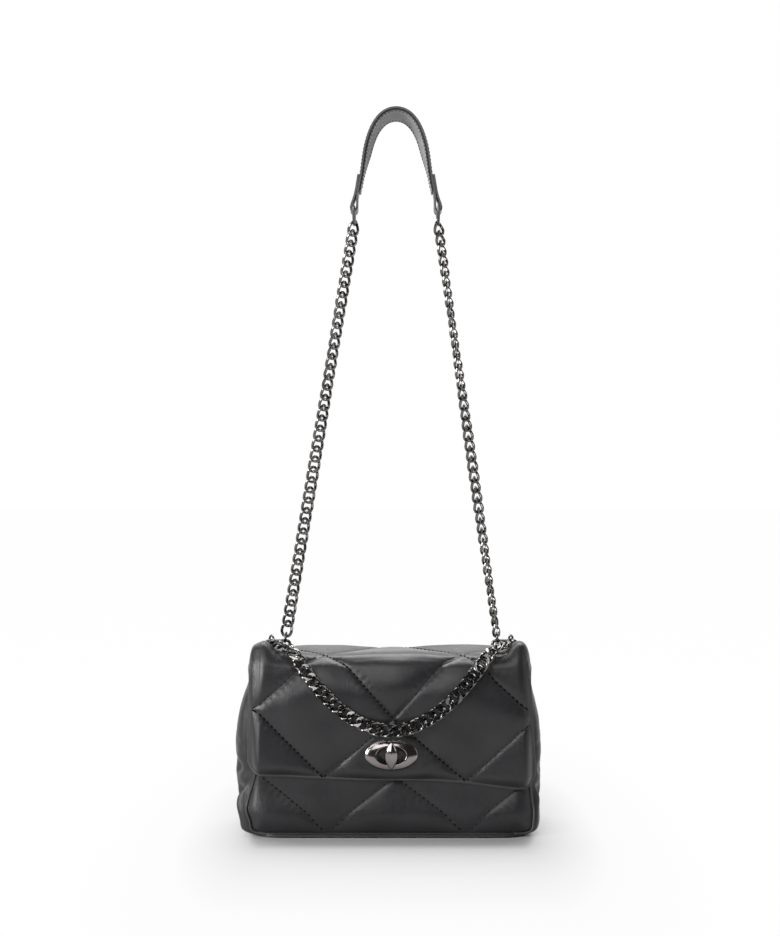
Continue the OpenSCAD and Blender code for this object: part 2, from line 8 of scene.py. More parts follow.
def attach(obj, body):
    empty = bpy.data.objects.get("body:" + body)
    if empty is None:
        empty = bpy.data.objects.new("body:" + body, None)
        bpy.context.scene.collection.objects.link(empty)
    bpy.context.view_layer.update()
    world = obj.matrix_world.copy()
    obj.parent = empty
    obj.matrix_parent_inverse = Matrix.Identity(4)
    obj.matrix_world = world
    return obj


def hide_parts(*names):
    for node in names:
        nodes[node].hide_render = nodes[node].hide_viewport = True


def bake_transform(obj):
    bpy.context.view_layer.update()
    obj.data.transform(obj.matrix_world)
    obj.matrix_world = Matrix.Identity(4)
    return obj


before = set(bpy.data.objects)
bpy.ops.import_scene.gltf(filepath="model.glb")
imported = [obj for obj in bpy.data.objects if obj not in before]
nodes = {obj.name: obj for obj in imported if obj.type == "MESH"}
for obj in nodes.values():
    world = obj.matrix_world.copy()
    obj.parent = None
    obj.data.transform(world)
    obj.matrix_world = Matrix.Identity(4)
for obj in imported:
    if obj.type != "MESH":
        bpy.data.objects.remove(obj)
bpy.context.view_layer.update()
MM = 0.001

# Sizes, in millimetres
# seen from the side, the front and the back are arcs of PANEL_R about (ARC_Y, ARC_Z)
PANEL_R, ARC_Y, ARC_Z = 483.571, 446.447, 57.2818
CREASE_R, CREASE_Z = 12.0, 132.0
FLAP_OUT = 6.4  # outer face of the flap in front of the panel
TOP_Z, HINGE_Z = 144.0, 151.0
TOP_HALF_W, FLAP_FLARE = 108.0, 6.0
CORNER_R = 13.0  # the flap's lower corners
LEATHER_T = 1.5
SEAM_LOW_Z = 6.4  # the lower seam of the front and the back
SLOT_HALF_S, SLOT_HALF_X = 1.6, 11.0  # the slots over the rings
LINING_SLOT_HALF_S, LINING_SLOT_HALF_X = 2.2, 11.5
RING_X, FRONT_RING_X, STRAP_RING_X = 93.0, 98.9, 87.1
CLASP = np.array([0.0, -43.447, 66.0])
CLASP_TILT = math.radians(1.0195)
ARCH_X, LEG_A = 4.0, math.radians(10)  # middle of the shoulder piece, lean of its legs
FOLD_Z, BAR_X = 504.45, 34.43  # its folded ends, round the rings' bars
STRAP_TOP_Z = 492.0
SHARP = 50  # degrees
STITCH_LIFT = 0.35


def front_at(z, off=0.0):
    """Distance of the front or back face from the middle, at a height."""
    return np.sqrt((PANEL_R + off) ** 2 - (np.asarray(z, float) - ARC_Z) ** 2) - ARC_Y


def smooth(t):
    """0 below 0, 1 above 1, and a soft step between."""
    t = np.clip(t, 0, 1)
    return t * t * (3 - 2 * t)


def bell(d, width=1.0, power=2):
    """1 at the middle, falling to nothing a few widths away."""
    return np.exp(-(d / width) ** power)


def fbm(p, scale, seed, octaves):
    """Noise at points in millimetres, about -1 to 1."""
    out = np.empty(len(p))
    for i, q in enumerate(p):
        out[i] = noise.fractal(Vector((q[0] / scale + seed, q[1] / scale, q[2] / scale)), 0.7, 2.1, octaves)
    return out


# Mesh helpers
def add_mesh(name, verts, faces, mats):
    """A smooth object from points in millimetres."""
    me = bpy.data.meshes.new(name)
    me.from_pydata([tuple(float(c) * MM for c in v) for v in verts], [], [tuple(int(i) for i in f) for f in faces])
    me.update()
    ob = bpy.data.objects.new(name, me)
    bpy.context.scene.collection.objects.link(ob)
    for m in (mats if isinstance(mats, (list, tuple)) else [mats]):
        me.materials.append(m)
    me.shade_smooth()
    return ob


def sharpen(me, degrees=SHARP):
    """Smooth faces, and edges that stay sharp above an angle."""
    me.shade_smooth()
    me.set_sharp_from_angle(angle=math.radians(degrees))


def grid_faces(nu, nv, base=0, wrap_u=False, wrap_v=False, skip=None):
    out = []
    for i in range(nu if wrap_u else nu - 1):
        for j in range(nv if wrap_v else nv - 1):
            if skip is not None and skip[i, j]:
                continue
            a, b = i * nv + j, ((i + 1) % nu) * nv + j
            c, d = ((i + 1) % nu) * nv + (j + 1) % nv, i * nv + (j + 1) % nv
            out.append((base + a, base + b, base + c, base + d))
    return out


def solidify(ob, t, offset=-1.0, rim_mat=0):
    """Gives a sheet its thickness, and its cut edge a material of its own."""
    m = ob.modifiers.new("t", "SOLIDIFY")
    m.thickness, m.offset, m.use_even_offset = t * MM, offset, True
    m.material_offset_rim = rim_mat
    bpy.context.view_layer.update()
    dg = bpy.context.evaluated_depsgraph_get()
    me = bpy.data.meshes.new_from_object(ob.evaluated_get(dg), depsgraph=dg)
    old = ob.data
    ob.modifiers.clear()
    ob.data = me
    me.name = ob.name
    bpy.data.meshes.remove(old)


def with_bmesh(ob, work):
    bm = bmesh.new()
    bm.from_mesh(ob.data)
    work(bm)
    bm.to_mesh(ob.data)
    bm.free()


def faces_out(bm):
    bmesh.ops.recalc_face_normals(bm, faces=bm.faces)


def flip_if(ob, want):
    """Turns the faces round if most look away from the wanted way, a vector or a function of a face's centre."""
    way = want if callable(want) else lambda centre: want
    if sum(f.normal.dot(Vector(way(f.center))) for f in ob.data.polygons) < 0:
        with_bmesh(ob, lambda bm: bmesh.ops.reverse_faces(bm, faces=bm.faces))


def run_of(P):
    """Length along a path at each of its points."""
    return np.r_[0, np.cumsum(np.linalg.norm(np.diff(P, axis=0), axis=1))]


def resample(P, n):
    """The same path with n points at even spacing."""
    P = np.asarray(P, float)
    d = run_of(P)
    t = np.linspace(0, d[-1], n)
    return np.c_[[np.interp(t, d, P[:, k]) for k in range(P.shape[1])]].T


def normals_of(P):
    """Unit normals of a path in a plane, to its left."""
    T = np.gradient(P, axis=0)
    T /= np.linalg.norm(T, axis=1)[:, None]
    return np.c_[-T[:, 1], T[:, 0]]


def tube(path, r, seg):
    """Verts and faces of a tube round a path of points, of one radius or one for each point."""
    P = np.asarray(path, float)
    n = len(P)
    T = np.gradient(P, axis=0)
    T /= np.linalg.norm(T, axis=1)[:, None]
    ref = np.array([0, 0, 1.0]) if abs(T[0][2]) < 0.9 else np.array([1.0, 0, 0])
    N = np.cross(T[0], ref); N /= np.linalg.norm(N)
    V = []
    for p, t, radius in zip(P, T, np.broadcast_to(r, n)):
        N = N - t * N.dot(t); N /= np.linalg.norm(N)
        B = np.cross(t, N)
        for k in range(seg):
            a = 2 * math.pi * k / seg
            V.append(p + (N * math.cos(a) + B * math.sin(a)) * radius)
    F = grid_faces(n, seg, wrap_v=True) + [range(seg)[::-1], range((n - 1) * seg, n * seg)]
    return np.array(V), F


# Materials
def node(nt, kind, **kw):
    n = nt.nodes.new(kind)
    for k, v in kw.items():
        if k in n.inputs:
            n.inputs[k].default_value = v
        else:
            setattr(n, k, v)
    return n


def new_mat(name, values):
    """A material with uniform values; its nodes, shader and object coordinates."""
    m = bpy.data.materials.new(name)
    m.use_nodes = True
    nt = m.node_tree
    b = nt.nodes["Principled BSDF"]
    for k, v in values.items():
        b.inputs[k].default_value = v
    return m, nt, b, node(nt, "ShaderNodeTexCoord").outputs["Object"]


def texture(nt, kind, vector, **kw):
    t = node(nt, "ShaderNodeTex" + kind, **kw)
    nt.links.new(vector, t.inputs["Vector"])
    return t


def ramp(nt, fac, stops):
    """Colour by a factor, from stops of (position, colour)."""
    r = nt.nodes.new("ShaderNodeValToRGB")
    el = r.color_ramp.elements
    el[0].position, el[0].color = stops[0][0], (*stops[0][1], 1)
    el[1].position, el[1].color = stops[-1][0], (*stops[-1][1], 1)
    for p, c in stops[1:-1]:
        el.new(p).color = (*c, 1)
    nt.links.new(fac, r.inputs["Fac"])
    return r.outputs["Color"]


def bumps(nt, b, *layers):
    """Bumps one over the other, each (height, strength, distance in metres)."""
    normal = None
    for height, strength, distance in layers:
        bump = node(nt, "ShaderNodeBump", Strength=strength, Distance=distance)
        nt.links.new(height, bump.inputs["Height"])
        if normal:
            nt.links.new(normal, bump.inputs["Normal"])
        normal = bump.outputs["Normal"]
    nt.links.new(normal, b.inputs["Normal"])


def remap(nt, fac, lo, hi, a=0.3, b=0.7):
    """Maps the factor's span a to b onto lo to hi."""
    m = nt.nodes.new("ShaderNodeMapRange")
    m.inputs["From Min"].default_value, m.inputs["From Max"].default_value = a, b
    m.inputs["To Min"].default_value, m.inputs["To Max"].default_value = lo, hi
    nt.links.new(fac, m.inputs["Value"])
    return m.outputs["Result"]


def leather(name, dark, light, rough, grain=0.25):
    """Smooth calf leather: fine pores, long soft wrinkles, slow changes of colour and gloss."""
    m, nt, b, at = new_mat(name, {"Specular IOR Level": 0.42, "Sheen Weight": 0.03, "Sheen Roughness": 0.4})
    big = texture(nt, "Noise", at, Scale=22.0, Detail=4.0, Roughness=0.55)
    mid = texture(nt, "Noise", at, Scale=190.0, Detail=5.0, Roughness=0.6, Distortion=0.6)
    cell = texture(nt, "Voronoi", at, Scale=1900.0, feature="DISTANCE_TO_EDGE")
    fine = texture(nt, "Noise", at, Scale=2600.0, Detail=2.0)
    stretch = node(nt, "ShaderNodeMapping", Scale=(700.0, 60.0, 60.0))
    nt.links.new(at, stretch.inputs["Vector"])
    pull = texture(nt, "Noise", stretch.outputs["Vector"], Scale=1.0, Detail=4.0, Roughness=0.6)
    nt.links.new(ramp(nt, big.outputs["Fac"], [(0.3, dark), (0.72, light)]), b.inputs["Base Color"])
    nt.links.new(remap(nt, mid.outputs["Fac"], rough - 0.04, rough + 0.06), b.inputs["Roughness"])
    pores = remap(nt, cell.outputs["Distance"], 0.0, 1.0, 0.0, 0.12)
    bumps(nt, b, (pores, grain, 0.00006), (mid.outputs["Fac"], 0.5, 0.00028),
          (fine.outputs["Fac"], 0.15, 0.00004), (pull.outputs["Fac"], 0.8, 0.00012))
    return m


def metal(name, dark, light, rough, scale=60.0):
    """Polished gunmetal: dark plating, faint scratches and slow changes of gloss."""
    m, nt, b, at = new_mat(name, {"Metallic": 1.0})
    big = texture(nt, "Noise", at, Scale=scale, Detail=3.0)
    fine = texture(nt, "Noise", at, Scale=900.0, Detail=6.0, Roughness=0.7, Distortion=1.5)
    nt.links.new(ramp(nt, big.outputs["Fac"], [(0.3, dark), (0.7, light)]), b.inputs["Base Color"])
    nt.links.new(remap(nt, fine.outputs["Fac"], rough - 0.05, rough + 0.1), b.inputs["Roughness"])
    bumps(nt, b, (fine.outputs["Fac"], 0.12, 0.00003))
    return m


def cloth(name, dark, light, scale=1500.0, specular=0.5, sheen=0.2, rough=0.8):
    """Woven lining or thread: fine crossing threads and a soft sheen."""
    m, nt, b, at = new_mat(name, {"Specular IOR Level": specular, "Sheen Weight": sheen})
    weave = node(nt, "ShaderNodeMath", operation="MULTIPLY")
    for i, way in enumerate("XZ"):
        wave = texture(nt, "Wave", at, Scale=scale / 3, Distortion=0.5, bands_direction=way)
        nt.links.new(wave.outputs["Fac"], weave.inputs[i])
    big = texture(nt, "Noise", at, Scale=30.0, Detail=4.0)
    nt.links.new(ramp(nt, big.outputs["Fac"], [(0.3, dark), (0.7, light)]), b.inputs["Base Color"])
    nt.links.new(remap(nt, big.outputs["Fac"], rough - 0.08, rough + 0.08), b.inputs["Roughness"])
    bumps(nt, b, (weave.outputs["Value"], 0.4, 0.0001))
    return m


LEATHER = leather("black_leather", (0.0105, 0.0105, 0.0118), (0.017, 0.017, 0.019), rough=0.34)
GUSSET = leather("gusset_leather", (0.011, 0.011, 0.012), (0.018, 0.018, 0.0195), rough=0.40)
EDGE = leather("edge_paint", (0.075, 0.075, 0.08), (0.11, 0.11, 0.115), rough=0.35, grain=0.1)
HEM = leather("hem_paint", (0.035, 0.035, 0.037), (0.065, 0.065, 0.068), rough=0.32, grain=0.1)
STRAP = leather("strap_leather", (0.012, 0.012, 0.013), (0.02, 0.02, 0.0215), rough=0.4)
# the shoulder strip's cut edge: a light grey that stands in for the glare on it, a painted highlight
STRAP_EDGE_GLARE = leather("strap_edge_painted_glare", (0.06, 0.06, 0.062), (0.09, 0.09, 0.092), rough=0.45, grain=0.1)
EDGE_DARK = leather("seam_edge", (0.024, 0.024, 0.026), (0.045, 0.045, 0.047), rough=0.36, grain=0.15)
SUEDE = leather("strap_underside", (0.16, 0.16, 0.163), (0.26, 0.26, 0.264), rough=0.6, grain=0.5)
THREAD = cloth("thread", (0.001, 0.001, 0.001), (0.003, 0.003, 0.003), scale=3000.0, specular=0.12, sheen=0.0)
LINING = cloth("lining_cloth", (0.018, 0.018, 0.020), (0.032, 0.032, 0.035))
GUNMETAL = metal("gunmetal", (0.09, 0.087, 0.086), (0.15, 0.145, 0.144), rough=0.18)
CHAIN = metal("chain_gunmetal", (0.12, 0.115, 0.112), (0.19, 0.182, 0.178), rough=0.1, scale=45.0)
PLATE = metal("clasp_gunmetal", (0.22, 0.20, 0.195), (0.30, 0.272, 0.262), rough=0.12, scale=40.0)
DARK = metal("recess_gunmetal", (0.045, 0.037, 0.034), (0.075, 0.062, 0.057), rough=0.22)


# The line over the top: s runs from the hinge line
FLAT_F, FLAT_B = 25.65, 19.17
ANG_F, ANG_B = math.radians(8.99), math.radians(9.12)
S_CR_F = FLAT_F + CREASE_R * (math.pi / 2 - ANG_F)
S_CR_B = FLAT_B + CREASE_R * (math.pi / 2 - ANG_B)
LOW_F, LOW_B = 43.0, SEAM_LOW_Z
R_F, R_B = PANEL_R + FLAP_OUT, PANEL_R


def low_angle(z, r):
    """Angle on the panels' arc of a radius at a height."""
    return math.asin((z - ARC_Z) / r)


S_END_F = S_CR_F + R_F * (ANG_F - low_angle(LOW_F, R_F))
S_END_B = S_CR_B + R_B * (ANG_B - low_angle(LOW_B, R_B))


def wrap_point(s):
    """Point (y, z) and outward normal (y, z) at signed distance s from the hinge line, positive down the front."""
    f = s >= 0
    sg = -1.0 if f else 1.0
    a = abs(s)
    flat, sc, ang, r = (FLAT_F, S_CR_F, ANG_F, R_F) if f else (FLAT_B, S_CR_B, ANG_B, R_B)
    if a < flat:
        return np.array([sg * a, TOP_Z]), np.array([0.0, 1.0])
    if a < sc:
        t, r, y, z = math.pi / 2 - (a - flat) / CREASE_R, CREASE_R, flat, CREASE_Z
    else:
        t, y, z = ang - (a - sc) / r, -ARC_Y, ARC_Z
    normal = np.array([sg * math.cos(t), math.sin(t)])
    return np.array([sg * y, z]) + r * normal, normal


def s_of(z):
    """Distance s on the front of the flap at a height."""
    return S_CR_F + R_F * (ANG_F - low_angle(z, R_F))


# Quilt lines of the wrap in (x, s): the flap's as they run on it, the rest on the same diamonds
UL, UR, CC = (-53.0, 21.0), (57.5, 21.0), (1.6, s_of(94.0))
LL, LR = (-54.0, s_of(47.5)), (58.9, s_of(44.5))
OL, OR = (-108.4, s_of(101.5)), (114.0, s_of(94.5))
B0, B1, B2, B3 = -32.0, -84.0, -136.0, -188.0
BL, BR = (-53, B1), (58, B1)
WRAP_LINES = [
    [UL, (-76, s_of(130)), OL, LL, CC, UL], [UR, (82, s_of(124)), OR, LR, CC, UR],
    [UL, (1.6, B0), UR], [UL, (-108.5, B0), BL], [UR, (111, B0), BR], [BL, (1.6, B0), BR], [BL, (1.6, B2), BR],
    [BL, (-108.5, B2), (-53, B3)], [BR, (111, B2), (58, B3)], [(1.6, B2), (-53, B3)], [(1.6, B2), (58, B3)],
    [LL, (-92, s_of(LOW_F) + 40)], [LR, (96, s_of(LOW_F) + 38)],
]
FRONT_LINES = [
    [(-106, 49.5), (-50.7, 6.5), (3.2, 47.0), (58.9, 6.5), (106, 42.5)],
    [(-106, 49.5), (-50.7, 87.0), (3.2, 47.0), (58.9, 87.0), (106, 46)],
    [(-50.7, 87.0), (3.2, 127), (58.9, 87.0)], [(-50.7, 87), (-106, 127)], [(58.9, 87), (106, 127)],
]


def segments(lines):
    return np.array([(*a, *b) for line in lines for a, b in zip(line[:-1], line[1:])], float)


def line_distance(q, seg):
    """Distance of each point to the nearest quilt line, and the place along it."""
    best, along, near = np.full(len(q), 1e9), np.zeros(len(q)), np.zeros(len(q))
    blend = 4.0  # millimetres over which neighbouring lines melt into one distance
    for x0, y0, x1, y1 in seg:
        d = np.array([x1 - x0, y1 - y0])
        L2 = d.dot(d)
        t = np.clip(((q[:, 0] - x0) * d[0] + (q[:, 1] - y0) * d[1]) / L2, 0, 1)
        e = np.hypot(q[:, 0] - x0 - t * d[0], q[:, 1] - y0 - t * d[1])
        m = e < best
        best[m] = e[m]
        along[m] = (t * math.sqrt(L2))[m] + x0 * 3.1
        near += np.exp(-e / blend)
    soft = -blend * np.log(np.maximum(near, 1e-12))
    k = smooth((best - 3.0) / 9.0)
    return best * (1 - k) + soft * k, along


def puff(q, seg, edge, height, seed, fade=15.0):
    """Height of the quilting at points: puffed fields, narrow sewn channels, puckers across them."""
    d, t = line_distance(q, seg)
    field = np.minimum(d, 26) / 26
    h = height * (0.62 * (1 - np.exp(-d / 6.5)) + 0.38 * smooth(field))
    slow = fbm(np.c_[q, np.full(len(q), seed)], 46.0, seed, 2)
    fine = fbm(np.c_[q[:, 0] * 0.6, q[:, 1], np.full(len(q), seed + 5)], 13.0, seed + 3.7, 2)
    pucker_pitch = 5.6
    pucker = np.sin(t * 2 * math.pi / pucker_pitch + 2.2 * slow) * bell(d - 3.2, 2.6)
    h += 0.10 * pucker + 0.95 * slow * smooth(d / 14) + 0.13 * fine * np.exp(-d / 16)
    h -= 0.7 * bell(d, 1.1)
    return h * smooth((edge + 1.0) / fade)


def stitches(q_of, lines, name, spacing=4.1, length=2.4, radius=0.6, keep=lambda x, y: True, sunk=0):
    """Separate thread stitches along lines. q_of gives the point and normal on the leather at a place.
    Lines that rise the way of sunk, 1 or -1, lie deeper in their channel."""
    V, F, done = [], [], set()
    for x0, y0, x1, y1 in segments(lines):
        key = tuple(sorted([(round(x0, 1), round(y0, 1)), (round(x1, 1), round(y1, 1))]))
        if key in done:
            continue
        done.add(key)
        a, b = np.array([x0, y0]), np.array([x1, y1])
        L = np.linalg.norm(b - a)
        n = max(1, int(L / spacing))
        deep = 0.65 if sunk * (b[0] - a[0]) * (b[1] - a[1]) > 0 else 0.0
        for i in range(n):
            c = (i + 0.5) / n
            ends = [a + (b - a) * (c - length / 2 / L), a + (b - a) * (c + length / 2 / L)]
            if not all(keep(*e) for e in ends):
                continue
            (p0, n0), (p1, n1) = q_of(*ends[0]), q_of(*ends[1])
            p0, p1 = p0 - n0 * deep, p1 - n1 * deep
            path = [p0 - n0 * 0.28, p0 * 0.75 + p1 * 0.25 + n0 * 0.15,
                    (p0 + p1) / 2 + (n0 + n1) / 2 * 0.16 + n0 * 0.09,
                    p0 * 0.25 + p1 * 0.75 + n1 * 0.15, p1 - n1 * 0.28]
            v, f = tube(path, [radius * 0.7, radius, radius, radius, radius * 0.7], seg=6)
            F += [tuple(k + len(V) for k in g) for g in f]
            V += list(v)
    return add_mesh(name, V, F, THREAD)


def settle(x, y, z):
    """How the soft bag stands: it sags forward low down, its sides roll back, its left shoulder sits wider."""
    ax = abs(x)
    front, rear, low = smooth((-y - 10) / 16.0), smooth((y - 10) / 16.0), smooth((46 - z) / 40.0)
    y -= 6.6 * low * front * (1 - 0.3 * smooth((ax - 85) / 30.0))
    y += 2.5 * low * rear
    roll = smooth((ax - 104) / 9.5) * smooth((z - 4) / 30.0)
    y += 5.0 * roll * front - 3.5 * roll * rear
    z *= 1 - 0.42 * smooth((20 - z) / 14.0) * front
    k = smooth((z - 40) / 100.0)
    if x < 0:
        x += 3.2 * smooth((24 - z) / 15.0) * smooth((ax - 99) / 9.0)
        x -= 4.0 * k * smooth((ax - 104.6) / 3.4)
        x -= 3.5 * smooth((54 - z) / 34.0) * smooth((-y - 22) / 10.0) * smooth((ax - 96) / 12.0)
    else:
        x += (1.2 * (1 - k) + 1.6 * k) * smooth((ax - 100) / 8.0)
    return x, y, z


# Back, top and flap: one quilted leather
def edge_at_low(x):
    """Height of the flap's lower edge, which waves and drops to the right."""
    return np.interp(x, [-114, -100, -80, -52, -24, 9, 40, 61, 82, 100, 114],
                     [50.0, 49.0, 48.4, 46.8, 45.6, 46.0, 44.8, 43.0, 40.2, 38.2, 38.6])


# half width of the body at the seams, by height: at the front, and at the back
SEAM_Z = [6.4, 6.6, 7.6, 9.4, 12.5, 20, 35, 50, 62, 100, 134, 144]
SEAM_F = [97, 101.5, 105.5, 108.6, 110.6, 111.6, 109.4, 107.2, 106.3, 106.5, 107.5, 107.5]
SEAM_B = [97, 101.5, 105.5, 108.6, 110.6, 111.6, 110.0, 109.0, 108.5, 108.0, 108.0, 108.0]


def seam_x(z, table=SEAM_F):
    return np.interp(z, SEAM_Z, table)


def wrap_half_width(s):
    z = wrap_point(s)[0][1]
    if s < 0:
        return seam_x(z, SEAM_B)
    w = TOP_HALF_W + FLAP_FLARE * (TOP_Z - z) / (TOP_Z - LOW_F)
    k = S_END_F - s
    if k < CORNER_R:
        w -= CORNER_R - math.sqrt(max(0.0, CORNER_R * CORNER_R - (CORNER_R - k) ** 2))
    return w


def top_bulge(x, s):
    """The top sinks a little in the middle and at the rings."""
    return bell(s - 6, 34.0) * (-0.7 * bell(x, 75.0) - 0.4 * bell(abs(x) - 90, 9.0))


def spline(P, k=4):
    """A smooth curve through a table of points."""
    P = np.array(P, float)
    n = len(P)
    out = []
    for a in np.linspace(0, n - 1, (n - 1) * k + 1):
        i = min(int(a), n - 2)
        f = a - i
        p0, p1, p2, p3 = P[max(i - 1, 0)], P[i], P[i + 1], P[min(i + 2, n - 1)]
        out.append(0.5 * (2 * p1 + (p2 - p0) * f + (2 * p0 - 5 * p1 + 4 * p2 - p3) * f * f
                          + (-p0 + 3 * p1 - 3 * p2 + p3) * f ** 3))
    return np.array(out)


# the pillows at the top's ends: how strong they are along s, and their height and reach from start to rim
ROLL_S, ROLL_A = spline(np.c_[[-44, -32, -18, -7, 5, 12, 20, 28, 36, 46, 62],
                              [0, 0.16, 0.36, 0.34, 0.5, 0.84, 1.0, 0.95, 0.5, 0.1, 0]], 8).T
ROLL_T, ROLL_UP, ROLL_OUT = spline(np.c_[[0, 0.14, 0.3, 0.46, 0.6, 0.71, 0.8, 0.87, 0.925, 0.97, 1.0],
                                         [0, 0.7, 2.8, 5.8, 8.1, 9.3, 9.2, 7.6, 4.6, 0.0, -4.6],
                                         [0, 0, 0, 0.1, 0.3, 0.7, 1.2, 1.8, 2.3, 2.5, 2.2]], 8).T
ROLL_DROP = 4.6


def end_roll(x, s):
    """The top's ends stand up in soft pillows and turn down at the sides."""
    x0 = 89.0 + 14.0 * bell(s, 9.0, 4)
    t = np.clip((abs(x) - x0) / (wrap_half_width(s) - x0), 0, 1)
    a = np.interp(s, ROLL_S, ROLL_A)
    down = -ROLL_DROP * smooth((t - 0.8) / 0.2)
    rim = smooth((s + 44) / 26.0) * smooth((56 - s) / 26.0)
    out = math.copysign(np.interp(t, ROLL_T, ROLL_OUT) * rim, x)
    return out, (np.interp(t, ROLL_T, ROLL_UP) - down) * a + down * rim


WRAP_SEG = segments(WRAP_LINES)


def wrap_warp(x, s):
    """Moves the flap's rows so that they end on its waving edge."""
    if s <= S_CR_F:
        return s
    k = (s - S_CR_F) / (S_END_F - S_CR_F)
    return S_CR_F + k * (s_of(edge_at_low(x)) - S_CR_F)


def wrap_edge(x, s):
    """Distance to the outline of the leather, in x and along s."""
    return min(wrap_half_width(s) - abs(x), (S_END_F - s) if s > 0 else (s + S_END_B))


def wrap_offsets(X, S, S0):
    """Offset of the outer face from the plain wrap, at places (x, s) that came from rows S0."""
    edge = np.array([wrap_edge(x, s) for x, s in zip(X, S0)])
    h = puff(np.c_[X, S], WRAP_SEG, edge, 4.2, 2.0, fade=10.0) - 2.0
    h *= 1 - 0.5 * bell(S + 9, 30.0)
    h -= np.where(S > 0, 1.5, 1.0) * bell(np.maximum(edge, 0), 3.2, 1.3)
    zz = np.array([wrap_point(s)[0][1] for s in S])
    on_flap = S > S_CR_F - 8
    h *= 1 - np.where(S > 0, bell((X / 27.0) ** 2 + ((zz - CLASP[2]) / 19.0) ** 2), 0)  # flat round the clasp
    h += 1.9 * bell(X, 44.0) * bell(zz - 118, 13.0) * on_flap
    h += 2.0 * bell(X, 92.0, 4) * bell(zz - 112, 14.0) * on_flap
    h -= 2.5 * bell(S - 34.0, 10.5)
    # a soft ridge to the right of the clasp, on a slope of 3 in 4
    along, across = (X - 32) * 0.8 + (zz - 61) * 0.6, (zz - 61) * 0.8 - (X - 32) * 0.6
    h += 1.3 * bell(along, 17.0) * bell(across, 6.0) * (S > 40)
    slots = bell(((np.abs(X) - RING_X) / 17.0) ** 2 + (S / 8.0) ** 2)
    return h * (1 - slots) + slots * -0.4


def wrap_place(x, s, off):
    p, n = wrap_point(s)
    p = p + n * off
    b = top_bulge(x, s)
    out, up = end_roll(x, s)
    return np.array(settle(x + out, p[0] + n[0] * b * 0.6, p[1] + n[1] * b + up)), np.array([0, n[0], n[1]])


def make_wrap():
    n_x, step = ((166, 1.15))
    ends = np.linspace(0.885, 1, 26)
    clasp_side = 82.0 / TOP_HALF_W
    u = np.unique(np.round(np.r_[np.linspace(-0.88, 0.88, n_x), ends, -ends, -clasp_side, clasp_side], 5))
    dense = S_END_F - CORNER_R * (1 - np.cos(np.linspace(0, math.pi / 2, 12)))
    dense_b = -S_END_B + CORNER_R * (1 - np.cos(np.linspace(0, math.pi / 2, 10)))
    mid = np.arange(-S_END_B + CORNER_R + step, S_END_F - CORNER_R, step)
    mid = mid[np.abs(np.abs(mid) - SLOT_HALF_S) > 0.5]
    rows = np.unique(np.round(np.r_[dense, dense_b, mid, -SLOT_HALF_S, SLOT_HALF_S], 4))
    S0 = np.repeat(rows[:, None], len(u), 1)
    X = u * np.array([wrap_half_width(s) for s in rows])[:, None]
    S = np.array([[wrap_warp(x, s) for x in X[i]] for i, s in enumerate(rows)])
    h = wrap_offsets(X.ravel(), S.ravel(), S0.ravel())
    V = [wrap_place(x, s, o)[0] for x, s, o in zip(X.ravel(), S.ravel(), h)]
    F = grid_faces(len(rows), len(u), skip=over_slots(u, rows, SLOT_HALF_S, SLOT_HALF_X))
    ob = add_mesh("quilted_leather", V, F, [LEATHER, EDGE])
    flip_if(ob, (0, 0, 1))
    solidify(ob, LEATHER_T, rim_mat=1)
    sharpen(ob.data)
    return ob


def over_slots(u, rows, half_s, half_x):
    """Which faces of a grid over the top lie over the slots."""
    cu, cs = (u[:-1] + u[1:]) / 2 * TOP_HALF_W, (rows[:-1] + rows[1:]) / 2
    return (np.abs(cs)[:, None] < half_s) & (np.abs(np.abs(cu)[None, :] - RING_X) < half_x)


def flap_outline():
    """Points of the flap's outline, from the top of the left side round to the top of the right side."""
    corner = S_END_F - CORNER_R * (1 - np.cos(np.linspace(0.05, math.pi / 2, 14)))
    side = [(wrap_half_width(s), s) for s in np.r_[np.linspace(14, S_END_F - CORNER_R, 60), corner]]
    w = wrap_half_width(S_END_F)
    P = [(-x, s) for x, s in side] + [(x, S_END_F) for x in np.linspace(-w, w, 90)[1:-1]] + side[::-1]
    out = []
    for x, s in P:
        sw = wrap_warp(x, s)
        o = wrap_offsets(np.array([x * 0.9999]), np.array([sw]), np.array([s]))[0]
        below = 0.15 if s > S_END_F - 3 else 0
        out.append(wrap_place(x + math.copysign(0.1, x), sw + below, o - LEATHER_T / 2)[0])
    return np.array(out)


wrap = make_wrap()
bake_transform(wrap)
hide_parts("back_panel", "back_padding", "flap_leather", "flap_padding")
v, f = tube(resample(flap_outline(), 420), 0.62, seg=10)
flap_edge = add_mesh("flap_edge", v, f, HEM)
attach(flap_edge, "flap")


def wrap_stitch_place(x, s):
    e = wrap_offsets(np.array([x]), np.array([s]), np.array([s]))[0]
    return wrap_place(x, s, e + STITCH_LIFT)


def off_clasp(x, s):
    """Where the wrap is sewn: not under the clasp, at the slots or past its edges."""
    z = wrap_point(s)[0][1]
    under = s > 0 and (x / 25.0) ** 2 + ((z - CLASP[2]) / 15.5) ** 2 < 1
    at_slot = abs(s) < 4 and abs(abs(x) - RING_X) < 13
    past = s > s_of(edge_at_low(x)) - 1.2 if s > 0 else s < -S_END_B + 2
    return not (under or at_slot or past) and abs(x) < wrap_half_width(s) - 0.9


wrap_thread = stitches(wrap_stitch_place, WRAP_LINES, "quilting_thread", keep=off_clasp, sunk=-1)
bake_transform(wrap_thread)


# Front panel
FRONT_SEG = segments(FRONT_LINES)
FZ0, FZ1 = SEAM_LOW_Z, 133.5


